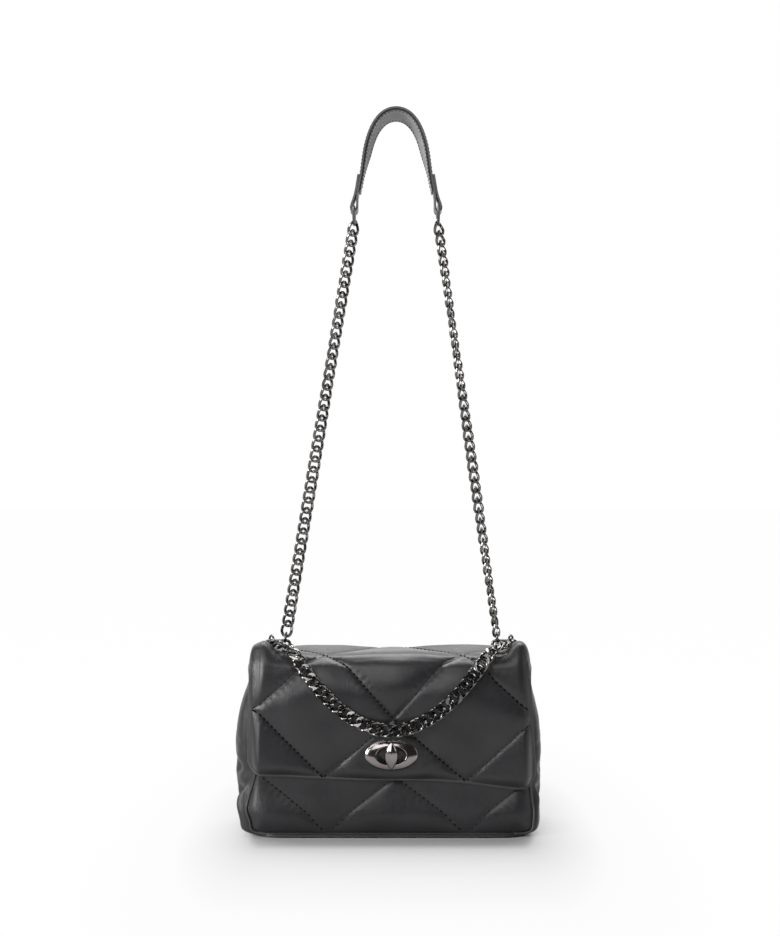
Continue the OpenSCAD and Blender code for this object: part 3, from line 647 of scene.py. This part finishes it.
def front_offset(X, Z):
    """Offset of the quilted front from the plain panel; low where the flap lies over it."""
    edge = np.minimum(seam_x(Z) - np.abs(X), np.minimum(Z - FZ0, FZ1 - Z))
    h = puff(np.c_[X, Z], FRONT_SEG, edge, 3.0, 9.0) - 1.3
    h *= 1 - bell((X / 12.0) ** 2 + ((Z - CLASP[2]) / 12.0) ** 2)
    cap = 0.5 + 1.2 * smooth((52 - Z) / 14.0) + 4.0 * smooth((50 - Z) / 8.0)
    return np.minimum(h, cap)


def front_place(x, z, off):
    return np.array(settle(x, -front_at(z) - off, z)), np.array([0, -1.0, 0.0])


def make_front():
    nx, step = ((140, 1.5))
    u = np.linspace(-1, 1, nx)
    low_rows = FZ0 + np.array([0, 0.1, 0.3, 0.7, 1.3, 2.1, 3.1, 4.3, 5.8])
    rows = np.unique(np.round(np.r_[low_rows, np.arange(13.5, FZ1, step), FZ1], 3))
    X = u[None, :] * seam_x(rows)[:, None]
    Z = np.repeat(rows[:, None], nx, 1)
    h = front_offset(X.ravel(), Z.ravel())
    V = [front_place(x, z, o)[0] for x, z, o in zip(X.ravel(), Z.ravel(), h)]
    ob = add_mesh("front_leather", V, grid_faces(len(rows), nx), [LEATHER, EDGE])
    flip_if(ob, (0, -1, 0))
    solidify(ob, LEATHER_T, rim_mat=1)
    sharpen(ob.data)
    return ob


front = make_front()
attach(front, "bag")
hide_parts("front_panel", "front_padding")
front_thread = stitches(
    lambda x, z: front_place(x, z, front_offset(np.array([x]), np.array([z]))[0] + STITCH_LIFT),
    FRONT_LINES, "front_thread", sunk=1, length=2.1, radius=0.45,
    keep=lambda x, z: abs(x) < seam_x(z) - 2.5 and 9 < z < 130 and math.hypot(x, z - CLASP[2]) > 10)
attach(front_thread, "bag")


# Gusset and base: one strip round the sides and the bottom
SIDE_END_Z, CORNER_END_X = 34, 90  # the bottom corners lie between these


def half_strip(side, corner, base_z, n):
    """Half of the strip's outline, from the top down the side, round the corner and along the base."""
    n_corner, n_base = n[1:]
    corner = resample(np.vstack([corner, [[CORNER_END_X, base_z]]]), n_corner)
    base = np.c_[np.linspace(CORNER_END_X, 0, n_base), np.full(n_base, base_z)]
    return np.vstack([side, corner[1:], base[1:]])


def outline_half(table, zt, n):
    """The seam along the front or the back panel."""
    zs = np.linspace(zt, SIDE_END_Z, n[0])
    zc = np.r_[np.linspace(SIDE_END_Z, 13, 20), np.linspace(12.5, SEAM_LOW_Z, 24)]
    return half_strip(np.c_[seam_x(zs, table), zs], np.c_[seam_x(zc, table), zc], SEAM_LOW_Z, n)


def bulge_x(z):
    """Half width along the middle of the gusset."""
    return np.interp(z, [0, 20, 34, 48, 62, 78, 92, 106, 120, 134, 144],
                     [118.5, 119.0, 120.3, 121.3, 121.6, 120.8, 118.8, 115.6, 111.8, 108.6, 107.0])


def outer_half(zt, n):
    """The middle line of the strip, which bulges past its seams."""
    zs, zc = np.linspace(zt, SIDE_END_Z, n[0]), np.linspace(SIDE_END_Z, 15, 12)
    r = 14.5
    a = np.linspace(math.radians(-4), -math.pi / 2, 30)
    arc = np.c_[bulge_x(18) - r + r * np.cos(a), r + r * np.sin(a)]
    return half_strip(np.c_[bulge_x(zs), zs], np.vstack([np.c_[bulge_x(zc), zc], arc]), 0.0, n)


# creases of the sides: depth, height at the front seam, rise to the back seam, half height, middle and half length
# from seam to seam, share on the right side
CREASES = [(8.0, 40, -60, 4.5, 0.16, 0.13, 0.6), (4.2, 50, 18, 5.0, 0.2, 0.16, 0.6),
           (2.0, 24, -14, 4.0, 0.6, 0.25, 1.0), (-1.5, 29, 0, 8.0, 0.04, 0.05, 0.6)]


def make_gusset():
    k = 1
    n = (70 // k, 40 // k, 50 // k)
    halves = outline_half(SEAM_F, 132.5, n), outline_half(SEAM_B, 133.5, n), outer_half(134.0, n)
    Fr, Bk, Out = [np.vstack([h, (h * [-1, 1])[::-1][1:]]) for h in halves]
    Bk[:, 0] -= np.sign(Bk[:, 0]) * 3.2 * smooth((Bk[:, 1] - 114) / 18)
    nv = 47
    v = (1 - np.cos(np.linspace(0, math.pi, nv))) / 2
    side_part = smooth((np.abs(Out[:, 0]) - 92) / 22)
    Out[:, 0] -= (np.where(Out[:, 0] < 0, 4.6, 0.2) * smooth((np.abs(Out[:, 0]) - 96) / 16)
                  * smooth((135 - Out[:, 1]) / 50))
    V = []
    for fr, bk, out, s in zip(Fr, Bk, Out, side_part):
        yf, yb = -front_at(fr[1], -2.2), front_at(bk[1], -2.2)
        e = 4.5 - 1.2 * s
        for t in v:
            g = (1 - abs(2 * t - 1) ** e) ** (1 / e) if 0 < t < 1 else 0.0
            base = fr * (1 - t) + bk * t
            x, z = base * (1 - g) + np.array([out[0], out[1] + (base[1] - fr[1]) * 0.9 * s]) * g
            y = yf + (yb - yf) * t - (1 - s) * 5.6 * bell(t - 0.035, 0.045)
            # the side draws in along its middle towards the top, and creases above the corners
            inward = s * smooth((z - 62) / 70.0) * 9.0 * bell(t - 0.5, 0.17)
            for depth, z0, rise, half_z, t0, half_t, right in CREASES:
                share = 1.0 if x < 0 else right
                inward += s * share * depth * bell(z - z0 - rise * t, half_z) * bell(t - t0, half_t)
            if s > 0.5:
                slope = 60 * abs(t - 0.5)
                inward += 0.5 * s * bell(min(abs(z - (98 - slope)), abs(z - (30 + slope))), 2.4)
            V.append((x - math.copysign(1, x) * inward, y, max(0.0, z)))
    V = np.array([settle(*q) for q in V])
    slow, fine = fbm(V, 34.0, 11.0, 3), fbm(V, 12.0, 17.0, 2)
    T = np.tile(v, len(Fr))
    amount, side = 4 * T * (1 - T), np.repeat(side_part, nv)
    V[:, 0] += np.sign(V[:, 0]) * (slow * 1.3 + fine * 0.35 - 0.5) * amount * side
    lift = np.maximum(0, slow * 0.5 + 0.2) * amount * (np.abs(T - 0.5) > 0.36)
    V[:, 2] += np.where(side < 0.4, lift, 0)
    ob = add_mesh("gusset_and_base", V, grid_faces(len(Fr), nv), [GUSSET, EDGE])
    flip_if(ob, lambda centre: (centre.x, 0, centre.z - 0.07))
    solidify(ob, 1.8, rim_mat=1)
    sharpen(ob.data)
    return ob, Fr, Bk


gusset, FR_SEAM, BK_SEAM = make_gusset()
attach(gusset, "bag")
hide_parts("gusset_left", "gusset_right", "base_panel", "base_board")


def seam_rim(name, seam, side):
    """The standing edge where a panel is sewn to the gusset."""
    P = np.array([(x, side * (front_at(z) - 0.7), z) for x, z in seam])
    P[:, 0] += np.sign(P[:, 0]) * 0.6 * smooth((np.abs(P[:, 0]) - 80) / 20)
    P[:, 2] -= 1.6 * smooth((25 - P[:, 2]) / 12)
    v, f = tube([settle(*q) for q in resample(P, 400)], 0.9, seg=10)
    v[:, 1] += fbm(v, 9.0, 4.0, 2) * 0.12
    ob = add_mesh(name, v, f, EDGE_DARK)
    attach(ob, "bag")


seam_rim("front_seam_edge", FR_SEAM, -1)
seam_rim("back_seam_edge", BK_SEAM, 1)


# Linings
def inner_half(z):
    return np.interp(z, [5, 12, 25, 61, 100, 131], [96, 102, 107.5, 109.5, 106.5, 103.0])


def make_lining():
    zs = np.r_[131.5, np.linspace(128, 14, 26), 11, 8.5, 6.8]
    n, r = 132, 13.0
    rows = []
    for z in zs:
        w, d = inner_half(z) - r, front_at(z, -4.4) - r
        if z < 12:
            w, d = w - (12 - z) * 0.8, d - (12 - z) * 0.5
        P = []
        for q, (cx, cy) in enumerate([(w, d), (-w, d), (-w, -d), (w, -d)]):
            for a in np.linspace(q * math.pi / 2, (q + 1) * math.pi / 2, 12):
                P.append((cx + r * math.cos(a), cy + r * math.sin(a)))
        rows.append(np.c_[resample(P + [P[0]], n + 1)[:-1], np.full(n, z)])
    rows += [rows[-1] * [k, k, 0] + [0, 0, 6.3] for k in (0.8, 0.55, 0.3, 0.1)]
    V = np.vstack(rows)
    w = fbm(V, 30.0, 21.0, 3)
    inward = np.c_[V[:, 0] / 110, V[:, 1] / 32, np.zeros(len(V))]
    V = V - inward * (np.abs(w) * smooth((131 - V[:, 2]) / 14) * smooth((V[:, 2] - 6) / 10))[:, None]
    ob = add_mesh("body_lining", [settle(*q) for q in V], grid_faces(len(rows), n, wrap_v=True), LINING)
    solidify(ob, 0.8)
    return ob


lining = make_lining()
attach(lining, "bag"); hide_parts("lining")


def make_pocket():
    half_w, z0, z1 = 70, 34, 106
    xs, zs = np.linspace(-half_w, half_w, 50), np.linspace(z0, z1, 34)
    V = []
    for z in zs:
        top = smooth((z - 80) / 26)
        for x in xs:
            arch = (x / half_w) ** 2
            out = 0.8 + 5.0 * smooth((half_w - abs(x)) / 12.0) * smooth((z - z0) / 30) * (1 - 0.25 * arch)
            V.append((x, front_at(z, -6.2) - out + 0.25 * math.sin(x / 9.0) * top, z - 1.4 * (1 - arch) * top))
    ob = add_mesh("slip_pocket", V, grid_faces(len(zs), len(xs)), LINING)
    flip_if(ob, (0, -1, 0)); solidify(ob, 0.9, 0.0)
    return ob, np.array(V[-len(xs):])


pocket, hem = make_pocket()
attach(pocket, "bag"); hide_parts("inner_pocket")
v, f = tube(hem, 1.1, seg=8)
v[:, 1] += (v[:, 1] - np.repeat(hem[:, 1], 8)) * -0.3  # pressed flat
pocket_hem = add_mesh("pocket_hem", v, f, EDGE_DARK)
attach(pocket_hem, "bag")


def make_flap_lining():
    n = 90
    u = np.linspace(-1, 1, n)
    corner = S_END_F - CORNER_R * (1 - np.cos(np.linspace(0.06, math.pi / 2, 10)))
    rows = np.unique(np.round(np.r_[np.linspace(-(S_CR_B + 9.0), S_END_F - CORNER_R, n),
                                    -LINING_SLOT_HALF_S, LINING_SLOT_HALF_S, corner], 4))
    places = []
    for s in rows:
        hw = wrap_half_width(s) - 0.7
        for x in u * hw:
            inset = 4.3
            if s > 0:
                inset = 4.4 - 1.9 * bell(max(min(hw - abs(x), (S_END_F - s) * 0.9), 0), 3.0, 1.4)
            places.append((x, wrap_warp(x, s), inset))
    V = []
    for (x, s, inset), w in zip(places, fbm([(x, s, 0) for x, s, _ in places], 38.0, 31.0, 3)):
        p, normal = wrap_point(s)
        b, off = top_bulge(x, s), -(inset + 0.35 * w)
        V.append(settle(x, p[0] + normal[0] * (off + b * 0.6), p[1] + normal[1] * (off + b)))
    skip = over_slots(u, rows, LINING_SLOT_HALF_S, LINING_SLOT_HALF_X)
    ob = add_mesh("flap_lining_cloth", V, grid_faces(len(rows), len(u), skip=skip), LINING)
    flip_if(ob, (0, 0, -1)); solidify(ob, 0.7, 0.0)
    return ob


flap_lining = make_flap_lining()
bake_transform(flap_lining)
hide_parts("flap_lining", "top_lining")

# leather tabs that hold the D-rings under the top
for side, tag in ((-1, "left"), (1, "right")):
    bar_z, r = 136.0, 2.2
    line = [(17.5, 137.0), (11, 136.2), (5, 133.9)]
    line += [(r * math.cos(a), bar_z + r * math.sin(a)) for a in np.radians(np.linspace(-70, -265, 16))]
    line += [(4, 138.3), (10, 138.2), (17.5, 138.2)]
    V = [(side * RING_X + x, *p) for p in resample(line, 60) for x in np.linspace(-6, 6, 9)]
    tab = add_mesh("tab_" + tag, V, grid_faces(60, 9), [STRAP, EDGE])
    solidify(tab, 1.1, 0.0, rim_mat=1)
    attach(tab, "bag"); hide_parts("ring_tab_" + tag)


# Clasp
CLASP_AXES = np.array([[1, 0, 0], [0, math.sin(CLASP_TILT), math.cos(CLASP_TILT)],
                       [0, -math.cos(CLASP_TILT), math.sin(CLASP_TILT)]])


def clasp_place(V):
    """Points of the clasp, in (right, up, out), to their place on the flap."""
    return np.array(V) @ CLASP_AXES + CLASP


def lean_back(V):
    """Tilts the plate's face towards the light above."""
    return [(x, y, z - 0.11 * y * np.clip(z / 1.5, 0, 1)) for x, y, z in V]


def ellipse_lathe(profile, n):
    """Rings of ellipses: (half width, half height, z)."""
    ring = np.linspace(0, 2 * math.pi, n, endpoint=False)
    V = [(a * math.cos(t), b * math.sin(t), z) for a, b, z in profile for t in ring]
    return V, grid_faces(len(profile), n, wrap_v=True)


PLATE_P = [(20.4, 11.4, -0.6), (20.95, 11.95, 0.0), (21.0, 12.0, 0.3), (20.75, 11.75, 0.75), (20.2, 11.3, 1.15),
           (19.3, 10.7, 1.6), (18.1, 10.0, 2.05), (16.7, 9.3, 2.45), (15.3, 8.7, 2.75), (14.0, 8.2, 2.97),
           (13.1, 7.85, 3.08), (12.5, 7.65, 3.08), (12.0, 7.4, 2.92), (11.75, 7.28, 2.6), (11.6, 7.2, 2.0),
           (11.5, 7.1, -0.3)]
V, F = ellipse_lathe(spline(PLATE_P), 128)
plate = add_mesh("turn_plate", clasp_place(lean_back(V)), F, PLATE)
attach(plate, "flap"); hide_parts("clasp_plate")
FLOOR_P = [(11.9, 7.4, -0.3), (11.2, 6.8, 0.0), (10.6, 6.3, 0.1), (10.3, 6.05, 0.75), (9.9, 5.75, 0.9),
           (9.5, 5.4, 0.75), (9.2, 5.15, 0.1), (6.5, 3.6, -0.1), (3.5, 2.6, 0.0), (0.01, 0.01, 0.1)]
V, F = ellipse_lathe(spline(FLOOR_P, 3), 96)
floor_piece = add_mesh("recess_floor", clasp_place(V), F, DARK)
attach(floor_piece, "flap"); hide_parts("clasp_floor")


def make_knob():
    """A pointed bar with a ridge along its front and a flatter back."""
    nu, nv = 33, 65
    half_l, half_w, mid_z = 10.8, 5.1, 3.9
    V = []
    for front in (True, False):
        for i in range(nv):
            y = half_l * math.sin((i / (nv - 1) - 0.5) * math.pi)
            w = half_w * max(0.0, 1 - (abs(y) / half_l) ** 2.1) ** 0.85
            for j in range(nu):
                q = math.sin((j / (nu - 1) - 0.5) * math.pi)
                if front:
                    lift = 0.82 * (1 - abs(q) ** 2.2) ** 0.8 + 0.18 * bell(q, 0.2)
                    z = mid_z + 3.1 * lift * (0.25 + 0.75 * (1 - (y / half_l) ** 2))
                else:
                    z = mid_z - 0.75 * (1 - abs(q) ** 1.7)
                V.append((w * q, y, z))
    F = grid_faces(nv, nu) + [g[::-1] for g in grid_faces(nv, nu, base=nv * nu)]
    k = add_mesh("turn_knob", clasp_place(V), F, PLATE)

    def weld(bm):
        bmesh.ops.remove_doubles(bm, verts=bm.verts, dist=1e-6)
        faces_out(bm)

    with_bmesh(k, weld)
    sharpen(k.data, 60)
    return k


knob = make_knob()
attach(knob, "knob"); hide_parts("clasp_knob")
V, F = ellipse_lathe([(2.6, 2.6, -2.6), (2.6, 2.6, 3.0), (3.1, 3.1, 3.5), (3.1, 3.1, 4.2), (0.05, 0.05, 4.3)], 40)
post = add_mesh("knob_post", clasp_place(V), F, PLATE)
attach(post, "knob")


# Chains
def link(A, B, C, r, cut, n, seg):
    """One curb link: a twisted oval of wire with half length A, half width B, twist C and wire radius r,
    ground flat on both faces."""
    V = []
    for t in 2 * math.pi * np.arange(n) / n:
        c = np.array([A * math.cos(t), B * math.sin(t), C * math.sin(2 * t)])
        T = np.array([-A * math.sin(t), B * math.cos(t), 2 * C * math.cos(2 * t)])
        T /= np.linalg.norm(T)
        N = np.array([B * math.cos(t), A * math.sin(t), 0.0])
        N -= T * N.dot(T)
        N /= np.linalg.norm(N)
        W = np.cross(T, N)
        V += [c + (N * math.cos(a) + W * math.sin(a)) * r for a in 2 * math.pi * (np.arange(seg) + 0.5) / seg]
    V = np.array(V)
    V[:, 2] = np.clip(V[:, 2], -cut, cut)
    return V, grid_faces(n, seg, wrap_u=True, wrap_v=True)


def chain(name, frames, shape, body, *cad):
    """Copies of a link at frames of (place, direction, face normal)."""
    V0, F0 = shape
    V, F = [], []
    for p, t, n in frames:
        t = t / np.linalg.norm(t)
        y = np.cross(n, t)
        y /= np.linalg.norm(y)
        F += [tuple(k + len(V) for k in g) for g in F0]
        V += list(V0 @ np.array([t, y, np.cross(t, y)]) + p)
    ob = add_mesh(name, V, F, CHAIN)
    with_bmesh(ob, faces_out)
    sharpen(ob.data, 28)
    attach(ob, body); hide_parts(*cad)


def rolled(n, t, roll):
    """The normal n turned about the direction t."""
    return n * math.cos(roll) + np.cross(t, n) * math.sin(roll)


# the draped chain lies a rest above the flap: from the rings over the top, round the crease, down the front
REST = 4.9
LIE_Y, LIE_TOP, LIE_R, LIE_FRONT_R = FLAT_F, TOP_Z + REST, CREASE_R + REST, R_F + REST
SEG1 = math.hypot(LIE_Y, HINGE_Z - LIE_TOP)
SEG2 = LIE_R * (math.pi / 2 - ANG_F)
DRAPE_LOW_Z = 86
DRAPE_V = SEG1 + SEG2 + LIE_FRONT_R * (ANG_F - low_angle(DRAPE_LOW_Z, LIE_FRONT_R))


def lie(v):
    """Point (y, z) and normal of the draped chain's surface, a distance v from the rings."""
    if v < SEG1:
        a = math.asin((HINGE_Z - LIE_TOP) / LIE_Y)
        return (np.array([-LIE_Y * v / SEG1, HINGE_Z + (LIE_TOP - HINGE_Z) * v / SEG1]),
                np.array([-math.sin(a), math.cos(a)]))
    if v < SEG1 + SEG2:
        a, r, middle = math.pi / 2 - (v - SEG1) / LIE_R, LIE_R, (-LIE_Y, CREASE_Z)
    else:
        a, r, middle = ANG_F - (v - SEG1 - SEG2) / LIE_FRONT_R, LIE_FRONT_R, (ARC_Y, ARC_Z)
    normal = np.array([-math.cos(a), math.sin(a)])
    return middle + r * normal, normal


def drape(x):
    p, n = lie(DRAPE_V * (1 - (x / FRONT_RING_X) ** 2))
    return np.array([x, p[0], p[1]]), np.array([0, n[0], n[1]])


XS = np.linspace(-FRONT_RING_X, FRONT_RING_X, 241)
RUN = run_of([drape(x)[0] for x in XS])
START, PITCH = 10.15, 9.0  # first link from its ring, and link to link
N_FRONT = 2 * round((RUN[-1] - 2 * START) / PITCH / 2 + 0.5)
STEP = (RUN[-1] - 2 * START) / (N_FRONT - 1)
frames = []
for i in range(N_FRONT):
    s = START + i * STEP
    p, n = drape(np.interp(s, RUN, XS))
    a, b = [drape(np.interp(s + ahead, RUN, XS))[0] for ahead in (-4, 4)]
    t = (b - a) / np.linalg.norm(b - a)
    n = rolled(n, t, 0.09 * math.sin(i * 0.9) + 0.07 * math.sin(i * 2.3 + 1) - 0.15)
    t = t + n * (0.085 + 0.025 * math.sin(i * 3.7 + 0.6)) + np.cross(t, n) * (0.04 * math.sin(i * 5.1))
    frames.append((p, t, n))
chain("draped_chain", frames, link(6.45, 4.5, -1.95, 1.26, 2.0, 44, 12), "front_drape", "front_chain")

STRAP_LINK = link(6.25, 4.05, 1.55, 1.24, 2.1, 40, 10)
STRAP_START, STRAP_END, STRAP_PITCH = 10.0, 2.5, 8.4
right_leg = math.hypot(BAR_X + ARCH_X - STRAP_RING_X, STRAP_TOP_Z - HINGE_Z) - STRAP_START - STRAP_END
N_STRAP = 2 * round((right_leg / STRAP_PITCH + 1) / 2)
for side, tag in ((-1, "left"), (1, "right")):
    base, top = np.array([side * STRAP_RING_X, 0, HINGE_Z]), np.array([side * BAR_X + ARCH_X, 0, STRAP_TOP_Z])
    leg = np.linalg.norm(top - base)
    t = (top - base) / leg
    step = (leg - STRAP_START - STRAP_END) / (N_STRAP - 1)
    frames = []
    for i in range(N_STRAP):
        if side < 0:
            roll = 0.30 + 0.42 * i / N_STRAP + 0.12 * math.sin(i * 0.31)
        else:
            roll = 0.95 + 0.22 * math.sin(i * 0.23 + 1)
        n = rolled(np.array([0, -1.0, 0]), t, roll + 0.06 * math.sin(i * 1.9))
        frames.append((base + t * (STRAP_START + i * step), t, n))
    low, high = frames[:N_STRAP // 2], frames[N_STRAP // 2:]
    chain("strap_links_%s_low" % tag, low, STRAP_LINK, "strap_low", "strap_chain_%s_lower" % tag)
    chain("strap_links_%s_high" % tag, high, STRAP_LINK, "strap_high", "strap_chain_%s_upper" % tag)


# Shoulder piece
ARCH = np.array([(28.55, 532.3), (27.1, 540.5), (24.9, 551.2), (22.0, 562.0), (17.9, 571.6), (12.6, 578.6),
                 (6.6, 582.6), (0.0, 583.9)])


def strip_path(inset, with_fold):
    """Seen from the front: the middle of the strip's thickness, from the left end over the arch to the right end."""
    if with_fold:
        r = 2.45
        loc = [(1.0, 27), (0.95, 21), (0.95, 14), (1.2, 9.5), (1.75, 5.8), (2.3, 2.6)]
        loc += [(r * math.cos(a), r * math.sin(a)) for a in np.linspace(0, -math.pi, 15)]
        loc += [(-2.25, 2.6), (-1.6, 5.8), (-1.05, 9.5), (-0.9, 14), (-0.9, 21)]
    else:
        loc = [(-0.9 - inset, k) for k in (14.5, 18, 22)]
    c, s = math.cos(LEG_A), math.sin(LEG_A)
    half = [(BAR_X + x * c - y * s, FOLD_Z + x * s + y * c) for x, y in loc]
    bow = spline(np.vstack([ARCH * [-1, 1], ARCH[::-1][1:]]), 12)
    bow = bow - normals_of(bow) * inset
    half = np.vstack([half, bow[:len(bow) // 2 + 1] * [-1, 1]])
    return np.vstack([half * [-1, 1], half[::-1][1:]]) + [ARCH_X, 0]


def strip_width(z):
    return float(np.interp(z, [FOLD_Z + 14, FOLD_Z + 52], [20.0, 28.0]))


def strip_bend(z, y, q):
    """How far the strip's face lies outside its middle line: it leans and bows where it is wide."""
    return -smooth((z - FOLD_Z - 24) / 26) * (0.115 * y + 0.9 * (q * q - 0.3))


def strip(name, inset, with_fold, trim, t, mats):
    P = resample(strip_path(inset, with_fold), 260 if with_fold else 200)
    N = normals_of(P)
    across = np.linspace(-1, 1, 15)
    V = []
    for p, n in zip(P, N):
        w = strip_width(p[1]) / 2 - trim
        for q in across:
            x, z = p + n * strip_bend(p[1], q * w, q)
            V.append((x, q * w, z))
    ob = add_mesh(name, V, grid_faces(len(P), len(across)), mats)
    solidify(ob, t, 0.0, rim_mat=1)
    sharpen(ob.data)
    return ob, P, N


strap_top, SP, SN = strip("shoulder_strip", 0.0, True, 0.0, 1.6, [STRAP, STRAP_EDGE_GLARE])
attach(strap_top, "shoulder"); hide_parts("shoulder_leather")
strap_in, LP, LN = strip("shoulder_strip_lining", 1.55, False, 0.9, 1.2, [SUEDE, STRAP])
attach(strap_in, "shoulder"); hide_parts("shoulder_lining")


def strip_stitches(name, P, N, off, trim):
    """Stitches along both edges of the strip, on its outer face or, with a negative offset, on its inner one."""
    d = run_of(P)

    def at(s, q):
        x, z, nx, nz = [np.interp(s, d, column) for column in (*P.T, *N.T)]
        y = q * (strip_width(z) / 2 - trim)
        k = strip_bend(z, y, q) + off
        return np.array([x + nx * k, y, z + nz * k]), np.array([nx, 0, nz]) * (1 if off > 0 else -1)

    start = 42 if off > 0 else 5
    lines = [[(start, q), (d[-1] - start, q)] for q in (-0.86, 0.86)]
    ob = stitches(at, lines, name, spacing=3.0, length=2.0, radius=0.24)
    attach(ob, "shoulder")


strip_stitches("strip_thread", SP, SN, 0.74, 0.0)
strip_stitches("strip_lining_thread", LP, LN, -0.55, 0.9)

# Metal pieces taken as they are
RINGS = [kind + "_ring_" + side for kind in ("d", "front", "strap", "shoulder") for side in ("left", "right")]
for n in RINGS + ["clasp_backing", "clasp_retainer", "body_magnet", "flap_magnet"]:
    me = nodes[n].data
    me.materials.clear(); me.materials.append(GUNMETAL)
    sharpen(me, 35)


# Stage, lamps, camera
def mix_shaders(nt, factor, first, second, output):
    mix = nt.nodes.new("ShaderNodeMixShader")
    for i, out in enumerate((factor, first, second)):
        nt.links.new(out, mix.inputs[i])
    nt.links.new(mix.outputs["Shader"], nt.nodes[output].inputs["Surface"])


floor_m, nt, b, last = new_mat("floor", {"Base Color": (0.41, 0.41, 0.41, 1), "Roughness": 0.9,
                                         "Specular IOR Level": 0.0})
glow = node(nt, "ShaderNodeEmission", Color=(1, 1, 1, 1), Strength=1.0)
# distance from the bag's footprint, in metres, counted three times to the sides
for op, size in (("ABSOLUTE", None), ("SUBTRACT", (0.10, 0.033, 0.0)), ("MAXIMUM", (0.0, 0.0, 0.0)),
                 ("MULTIPLY", (3.0, 1.0, 0.0)), ("LENGTH", None)):
    step = node(nt, "ShaderNodeVectorMath", operation=op)
    nt.links.new(last, step.inputs[0])
    if size:
        step.inputs[1].default_value = size
    last = step.outputs["Value" if op == "LENGTH" else "Vector"]
# how far the lamp-lit floor gives way to white glow, by that distance over 0.4 m: the glow fades out towards the bag,
# a painted shade round its footprint on top of the lamps' cast shadow
SHADE_HALO_GLOW = [(0.04, 0.0), (0.07, 0.08), (0.105, 0.40), (0.15, 0.53), (0.21, 0.62), (0.33, 0.76), (0.5, 0.93), (1.0, 0.99)]
white = ramp(nt, remap(nt, last, 0.0, 1.0, 0.0, 0.4), [(at, (v, v, v)) for at, v in SHADE_HALO_GLOW])
mix_shaders(nt, white, b.outputs["BSDF"], glow.outputs["Emission"], "Material Output")
corners = [(-6000, -3000, 0), (6000, -3000, 0), (6000, 9000, 0), (-6000, 9000, 0)]
floor = add_mesh("floor", corners, [(0, 1, 2, 3)], floor_m)

# a dim studio that the camera sees as white, and so do metal and glass towards the backdrop behind the bag
w = bpy.data.worlds.new("studio"); bpy.context.scene.world = w
w.use_nodes = True
wt = w.node_tree
dim, bright = wt.nodes["Background"], wt.nodes.new("ShaderNodeBackground")
for sky, strength in ((dim, 0.05), (bright, 1.0)):
    sky.inputs["Color"].default_value = (1, 1, 1, 1)
    sky.inputs["Strength"].default_value = strength
way = node(wt, "ShaderNodeSeparateXYZ")
wt.links.new(node(wt, "ShaderNodeTexCoord").outputs["Generated"], way.inputs["Vector"])
behind = remap(wt, way.outputs["Y"], 0.0, 1.0, 0.05, 0.5)


def math_node(kind, first, second):
    m = node(wt, "ShaderNodeMath", operation=kind)
    wt.links.new(first, m.inputs[0])
    wt.links.new(second, m.inputs[1])
    return m.outputs["Value"]


rays = wt.nodes.new("ShaderNodeLightPath").outputs
shown = math_node("MAXIMUM", rays["Is Glossy Ray"], rays["Is Transmission Ray"])
shown = math_node("MAXIMUM", math_node("MULTIPLY", shown, behind), rays["Is Camera Ray"])
mix_shaders(wt, shown, dim.outputs["Background"], bright.outputs["Background"], "World Output")


def lamp(name, loc, aim, size, power, size_y):
    d = bpy.data.lights.new(name, "AREA")
    d.shape = "RECTANGLE"; d.size = size; d.size_y = size_y; d.energy = power
    o = bpy.data.objects.new(name, d)
    bpy.context.scene.collection.objects.link(o)
    o.location = loc
    o.rotation_euler = (Vector(aim) - Vector(loc)).to_track_quat("-Z", "Y").to_euler()


lamp("top", (-0.15, 0.50, 1.3), (-0.15, 0.14, 0.1), 1.5, 26, 0.8)
lamp("back", (0, 2.0, 0.55), (0, 0, 0.12), 2.6, 2.5, 0.9)
lamp("front", (-0.3, -1.4, 1.3), (0, 0, 0.1), 1.2, 12, 0.9)
lamp("left", (-1.28, -0.86, 0.6), (0, 0, 0.1), 0.7, 24, 0.7)
lamp("right", (1.5, -0.5, 0.7), (0, 0, 0.1), 0.5, 3, 0.9)

cam = bpy.data.cameras.new("camera")
co = bpy.data.objects.new("camera", cam)
bpy.context.scene.collection.objects.link(co)
co.location = (-0.001, -1.143, 0.2925)
co.rotation_euler = (math.pi / 2, 0, 0)
cam.lens = 53.6; cam.sensor_width = 36.0; cam.sensor_fit = "AUTO"
cam.dof.use_dof = False
cam.clip_start, cam.clip_end = 0.01, 50
bpy.context.scene.camera = co
bpy.context.scene.view_settings.view_transform = "Standard"
